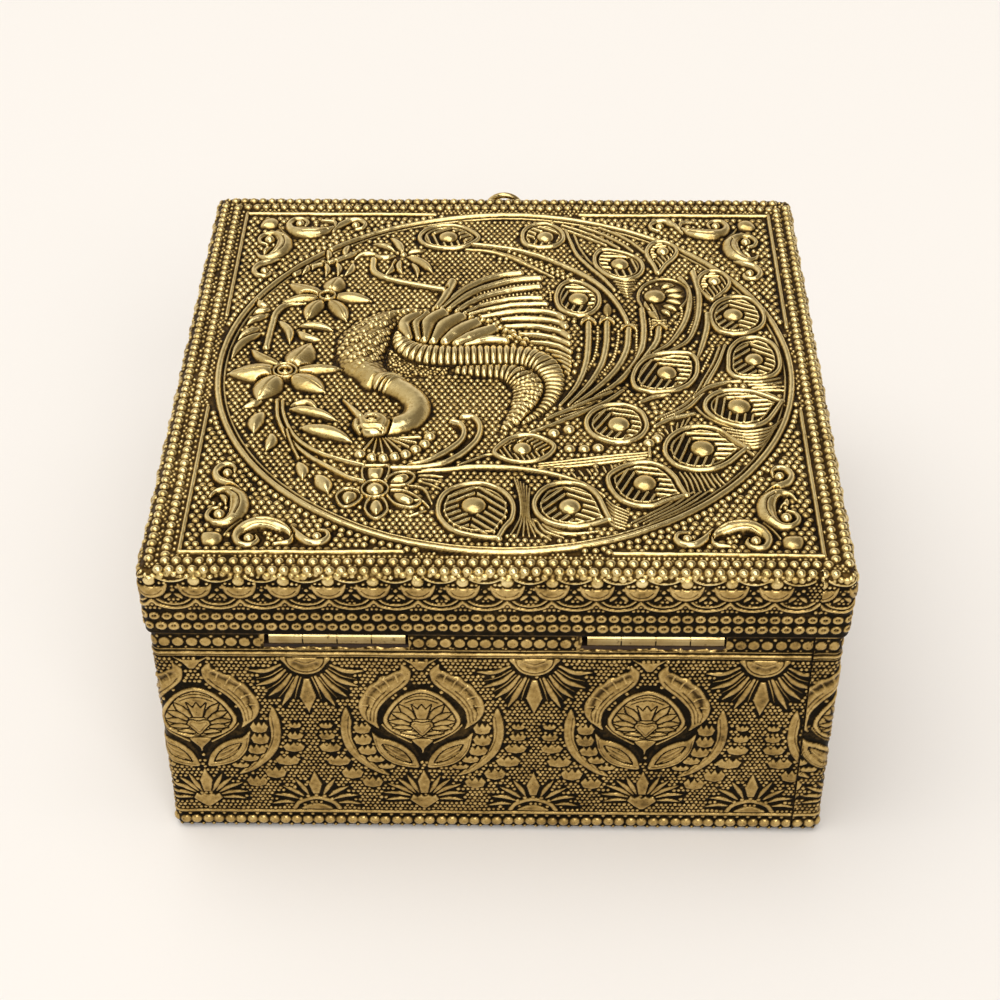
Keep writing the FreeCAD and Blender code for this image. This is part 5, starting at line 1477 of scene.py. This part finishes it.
def body_pieces(body, runs):
    """Foot, field and rail of each side; the sheet's end laps over its low open edge."""
    s, z = np.meshgrid(body.a, body.b)
    shape = box_blur(body.height, 1) * 0.2 + body.height * 0.8 - SIDE_SINK + 0.7 * dents(s, z, 6)
    open_edge = smooth_step(0.1, 0.7, body.a)[None, :]
    lapped = smooth_step(BODY_LOOP - 1.2, BODY_LOOP - 0.3, body.a)[None, :]
    shape = shape * (0.3 + 0.7 * open_edge) - 0.12 * (1 - open_edge) + 0.14 * lapped
    points = sweep(body.a, body.b, body_profile, BODY_HALF, BODY_CORNER, shape)
    patina_and_painted_highlight = rubbed_and_painted_highlight(body, 0.07, 0.24) * open_edge
    normals = grid_normals(points, True)
    low = int(np.argmin(abs(body.b - BODY_LOW)))
    foot = int(np.argmin(abs(body.b - FOOT_LINE)))
    upper = int(np.argmin(abs(body.b - NOTCH_LOW)))
    deep = SHEET + 0.3

    def piece(name, first, last, rows, places):
        c = cut(body.a, first, last)
        inner = inner_side(body.a[c], places, BODY_HALF, BODY_CORNER)
        grid_piece(name, points[rows, c], inner, True, normals[rows, c], patina_and_painted_highlight[rows, c], BODY_SKIN)

    for name, start, end in runs:
        piece(f"body_foot_{name}", start, end, slice(low, foot + 1),
              ((deep, BODY_LOW + 0.4), (deep, FOOT_LINE)))
        parts = 3 if name == "back" else 1
        for k in range(parts):
            step = (end - start) / parts
            piece(f"body_field_{name}{k + 1}", start + k * step, start + (k + 1) * step,
                  slice(foot, upper + 1), ((deep, FOOT_LINE), (deep, NOTCH_LOW)))
        rails = [(start, end)]
        if name == "back":
            a, b = notches()
            rails = [(start, a[0]), (a[1], b[0]), (b[1], end)]
        for k, (first, last) in enumerate(rails):
            piece(f"body_rail_{name}{k + 1}", first, last, slice(upper, len(body.b)),
                  ((deep, NOTCH_LOW), (deep, BODY_HIGH - SHEET), (deep + 0.2, BODY_HIGH - SHEET)))


def hem_strip(name, corners, level, thick):
    """A flat hem between four corners, slightly uneven, thick downwards."""
    a, b, c, d = (np.array(corner, float) for corner in corners)
    along = max(2, int(np.linalg.norm(b - a) / 0.6))
    across = max(2, int(np.linalg.norm(d - a) / 0.6))
    s = np.linspace(0, 1, along)[None, :, None]
    w = np.linspace(0, 1, across)[:, None, None]
    flat = (a * (1 - s) + b * s) * (1 - w) + (d * (1 - s) + c * s) * w
    z = level + 0.5 * dents(flat[:, :, 0], flat[:, :, 1], 11)
    points = np.concatenate([flat, z[:, :, None]], 2)
    under = points[[0, -1]].copy()
    under[:, :, 2] = level - thick
    flip = np.cross(b - a, d - a) < 0
    patina_and_painted_highlight = 0.55 + 0.3 * mottle(flat[:, :, 0], flat[:, :, 1], 1.7, 12)
    grid_piece(name, points, under, flip, grid_normals(points, flip), patina_and_painted_highlight, BODY_SKIN)


def hems():
    """The sheet turned in over the top of the walls."""
    far = BODY_HALF - 0.5
    near = BODY_HALF - HEM_TOP
    (a0, a1), (b0, b1) = [(first + SEAM_X, last + SEAM_X) for first, last in notches()]
    level = BODY_HIGH - 0.08
    for k, (x0, x1) in enumerate(((-far, a0), (a1, b0), (b1, far))):
        inner0 = -near if k == 0 else x0
        inner1 = near if k == 2 else x1
        hem_strip(f"hem_back{k + 1}", ((x0, far), (x1, far), (inner1, near), (inner0, near)), level, 0.3)
    hem_strip("hem_front", ((-far, -far), (far, -far), (near, -near), (-near, -near)), level, 0.3)
    hem_strip("hem_left", ((far, -far), (far, far), (near, near), (near, -near)), level, 0.3)
    hem_strip("hem_right", ((-far, -far), (-far, far), (-near, near), (-near, -near)), level, 0.3)


def torn_piece(name, s, level, inset, patina_and_painted_highlight):
    """A ragged strip of the body's sheet."""
    x, y, _, _ = round_square(s, BODY_HALF, BODY_CORNER, inset)
    points = np.stack([x, y, level], 2)
    inner = points[[0, -1]].copy()
    inner[:, :, 1] -= 0.3
    normals = grid_normals(points, True)
    grid_piece(name, points, inner, True, normals, np.clip(patina_and_painted_highlight, 0, 1), BODY_SKIN)


def notch_edges():
    """Torn lips under the hinge notches, and folds at their ends."""
    for k, (first, last) in enumerate(notches()):
        s = np.arange(first, last, 0.22)
        t = np.linspace(0, 1, 7)[:, None]
        rise = 0.65 + 0.3 * mottle(s, 0 * s, 2.3, 31 + k) + 0.25 * mottle(s, 0 * s, 0.8, 35 + k)
        level = NOTCH_LOW - 0.1 + t * np.maximum(rise, 0.15)
        s2 = np.tile(s, (7, 1))
        inset = 0.1 + 0.55 * t**2 + 0.22 * mottle(s2, level, 1.0, 37 + k)
        torn_piece(f"notch_lip{k + 1}", s2, level, inset,
                   0.55 + 0.5 * mottle(s2, level * 2, 0.7, 41 + k))
        for end, start, wide in (("a", first, 0.35), ("b", last, -0.9)):
            z = np.arange(NOTCH_LOW, BODY_HIGH - 0.3, 0.2)
            t = np.linspace(0, 1, 6)[None, :]
            reach = wide * (1 + 0.4 * mottle(z, 0 * z, 1.1, 43 + k))[:, None]
            s2 = start + np.sort(t * reach - 0.3 * np.sign(wide), 1)
            level = np.tile(z[:, None], (1, 6))
            bend = np.abs(s2 - start) / abs(wide)
            inset = 0.05 + 0.35 * bend**2 + 0.15 * mottle(s2, level, 0.9, 45 + k)
            torn_piece(f"notch_fold{k + 1}{end}", s2, level, inset,
                       0.55 + 0.5 * mottle(s2, level, 0.7, 47 + k))


lid_top_pieces()
lid_rim_pieces()
hems()
notch_edges()
sides = side_runs(BODY_HALF, BODY_CORNER)
body_pieces(back_sheet, sides[:1])
body_pieces(side_sheet, sides[1:])

# Looks of the CAD pieces that stay
LOOKS = {"hinge": hinge_brass, "hasp": hinge_brass, "catch": hinge_brass, "lining": velvet,
         "lid_lining": velvet, "base_felt": felt, "body_hinge_nails": nail_brass,
         "lid_hinge_nails": nail_brass, "catch_nails": nail_brass, "hasp_nails": nail_brass,
         "wall_brads": brad_steel, "base_brads": brad_steel, "lid_brads": brad_steel}
for name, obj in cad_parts.items():
    fitting = [key for key in LOOKS if name.startswith(key)]
    look = LOOKS[max(fitting, key=len)] if fitting else dark_wood
    obj.data.materials.clear()
    obj.data.materials.append(look)

# Floor, light and camera
PALE = (0.868, 0.848, 0.831, 1)
ROOM_LOW = (0.94, 0.885, 0.82, 1)
ROOM_BRIGHT = (0.98, 0.92, 0.82, 1)
ROOM_DARK = (0.23, 0.2, 0.16, 1)
FLOOR_REACH = 6.0
CAMERA_PLACE = (-5.533, 402.17, 367.58)  # millimetres, fitted to the photo's straight edges
CAMERA_TURN = (0.014269, 0.686079, -0.002568)  # yaw, pitch and roll in radians
CAMERA_LENS = 74.515


def make_floor():
    """A plain pale sheet of paper on the table."""
    mesh = bpy.data.meshes.new("floor")
    far = FLOOR_REACH
    mesh.from_pydata([(-far, -far, 0), (far, -far, 0), (far, far, 0), (-far, far, 0)], [], [(0, 1, 2, 3)])
    obj = bpy.data.objects.new("floor", mesh)
    bpy.context.scene.collection.objects.link(obj)
    m, tree, shader = material("floor_paper")
    tooth = noise(tree, 900.0, 3.0)
    shaded = [0.99 * c for c in PALE[:3]] + [1]
    tree.links.new(blend(tree, tooth, shaded, PALE), shader.inputs["Base Color"])
    shader.inputs["Roughness"].default_value = 0.9
    shader.inputs["Specular IOR Level"].default_value = 0.1
    mesh.materials.append(m)


def area_lamp(name, place, target, size, power, colour):
    """A soft lamp; place, target and size in metres, power in watts."""
    data = bpy.data.lights.new(name, "AREA")
    data.shape = "RECTANGLE"
    data.size, data.size_y = size
    data.energy = power
    data.color = colour
    obj = bpy.data.objects.new(name, data)
    obj.location = place
    obj.rotation_mode = "QUATERNION"
    obj.rotation_quaternion = (Vector(target) - Vector(place)).to_track_quat("-Z", "Y")
    bpy.context.scene.collection.objects.link(obj)


def make_world():
    """A room that is pale near the floor, and above it bright on one side and dark on the other."""
    world = bpy.data.worlds.new("studio")
    bpy.context.scene.world = world
    world.use_nodes = True
    tree = world.node_tree
    back = tree.nodes["Background"]
    where = add(tree, "ShaderNodeTexCoord").outputs["Generated"]
    way = add(tree, "ShaderNodeSeparateXYZ", {0: where}).outputs
    side = maths(tree, "SUBTRACT", maths(tree, "MULTIPLY", way["X"], 0.8),
                 maths(tree, "MULTIPLY", way["Y"], 0.4))
    upper = blend(tree, ramp(tree, side, 0.0, 0.9), ROOM_DARK, ROOM_BRIGHT)
    tree.links.new(blend(tree, ramp(tree, way["Z"], 0.2, 0.5), ROOM_LOW, upper), back.inputs["Color"])
    back.inputs["Strength"].default_value = 1.0


def make_camera():
    """The camera that was fitted to the photo."""
    yaw, pitch, roll = CAMERA_TURN
    s, c = math.sin(yaw), math.cos(yaw)
    sp, cp = math.sin(pitch), math.cos(pitch)
    forward = Vector((s * cp, -c * cp, -sp))
    right = Vector((-c, -s, 0))
    down = Vector((-s * sp, c * sp, -cp))
    across = right * math.cos(roll) - down * math.sin(roll)
    lower = right * math.sin(roll) + down * math.cos(roll)
    data = bpy.data.cameras.new("camera")
    data.lens = CAMERA_LENS
    data.sensor_width = 36.0
    data.clip_start = 0.02
    data.clip_end = 40.0
    obj = bpy.data.objects.new("camera", data)
    turn = Matrix((across, -lower, -forward)).transposed().to_4x4()
    obj.matrix_world = Matrix.Translation(Vector(CAMERA_PLACE) * MM) @ turn
    bpy.context.scene.collection.objects.link(obj)
    bpy.context.scene.camera = obj


make_floor()
make_world()
make_camera()
area_lamp("key", (0.4, 0.4, 4.15), (0, 0, 0.05), (4.0, 4.0), 112, (1.0, 0.99, 0.97))
area_lamp("fill", (-1.6, 6.5, 6.0), (0, 0.1, 0), (6.4, 4.8), 320, (1.0, 0.99, 0.98))
bpy.context.scene.view_settings.view_transform = "Standard"
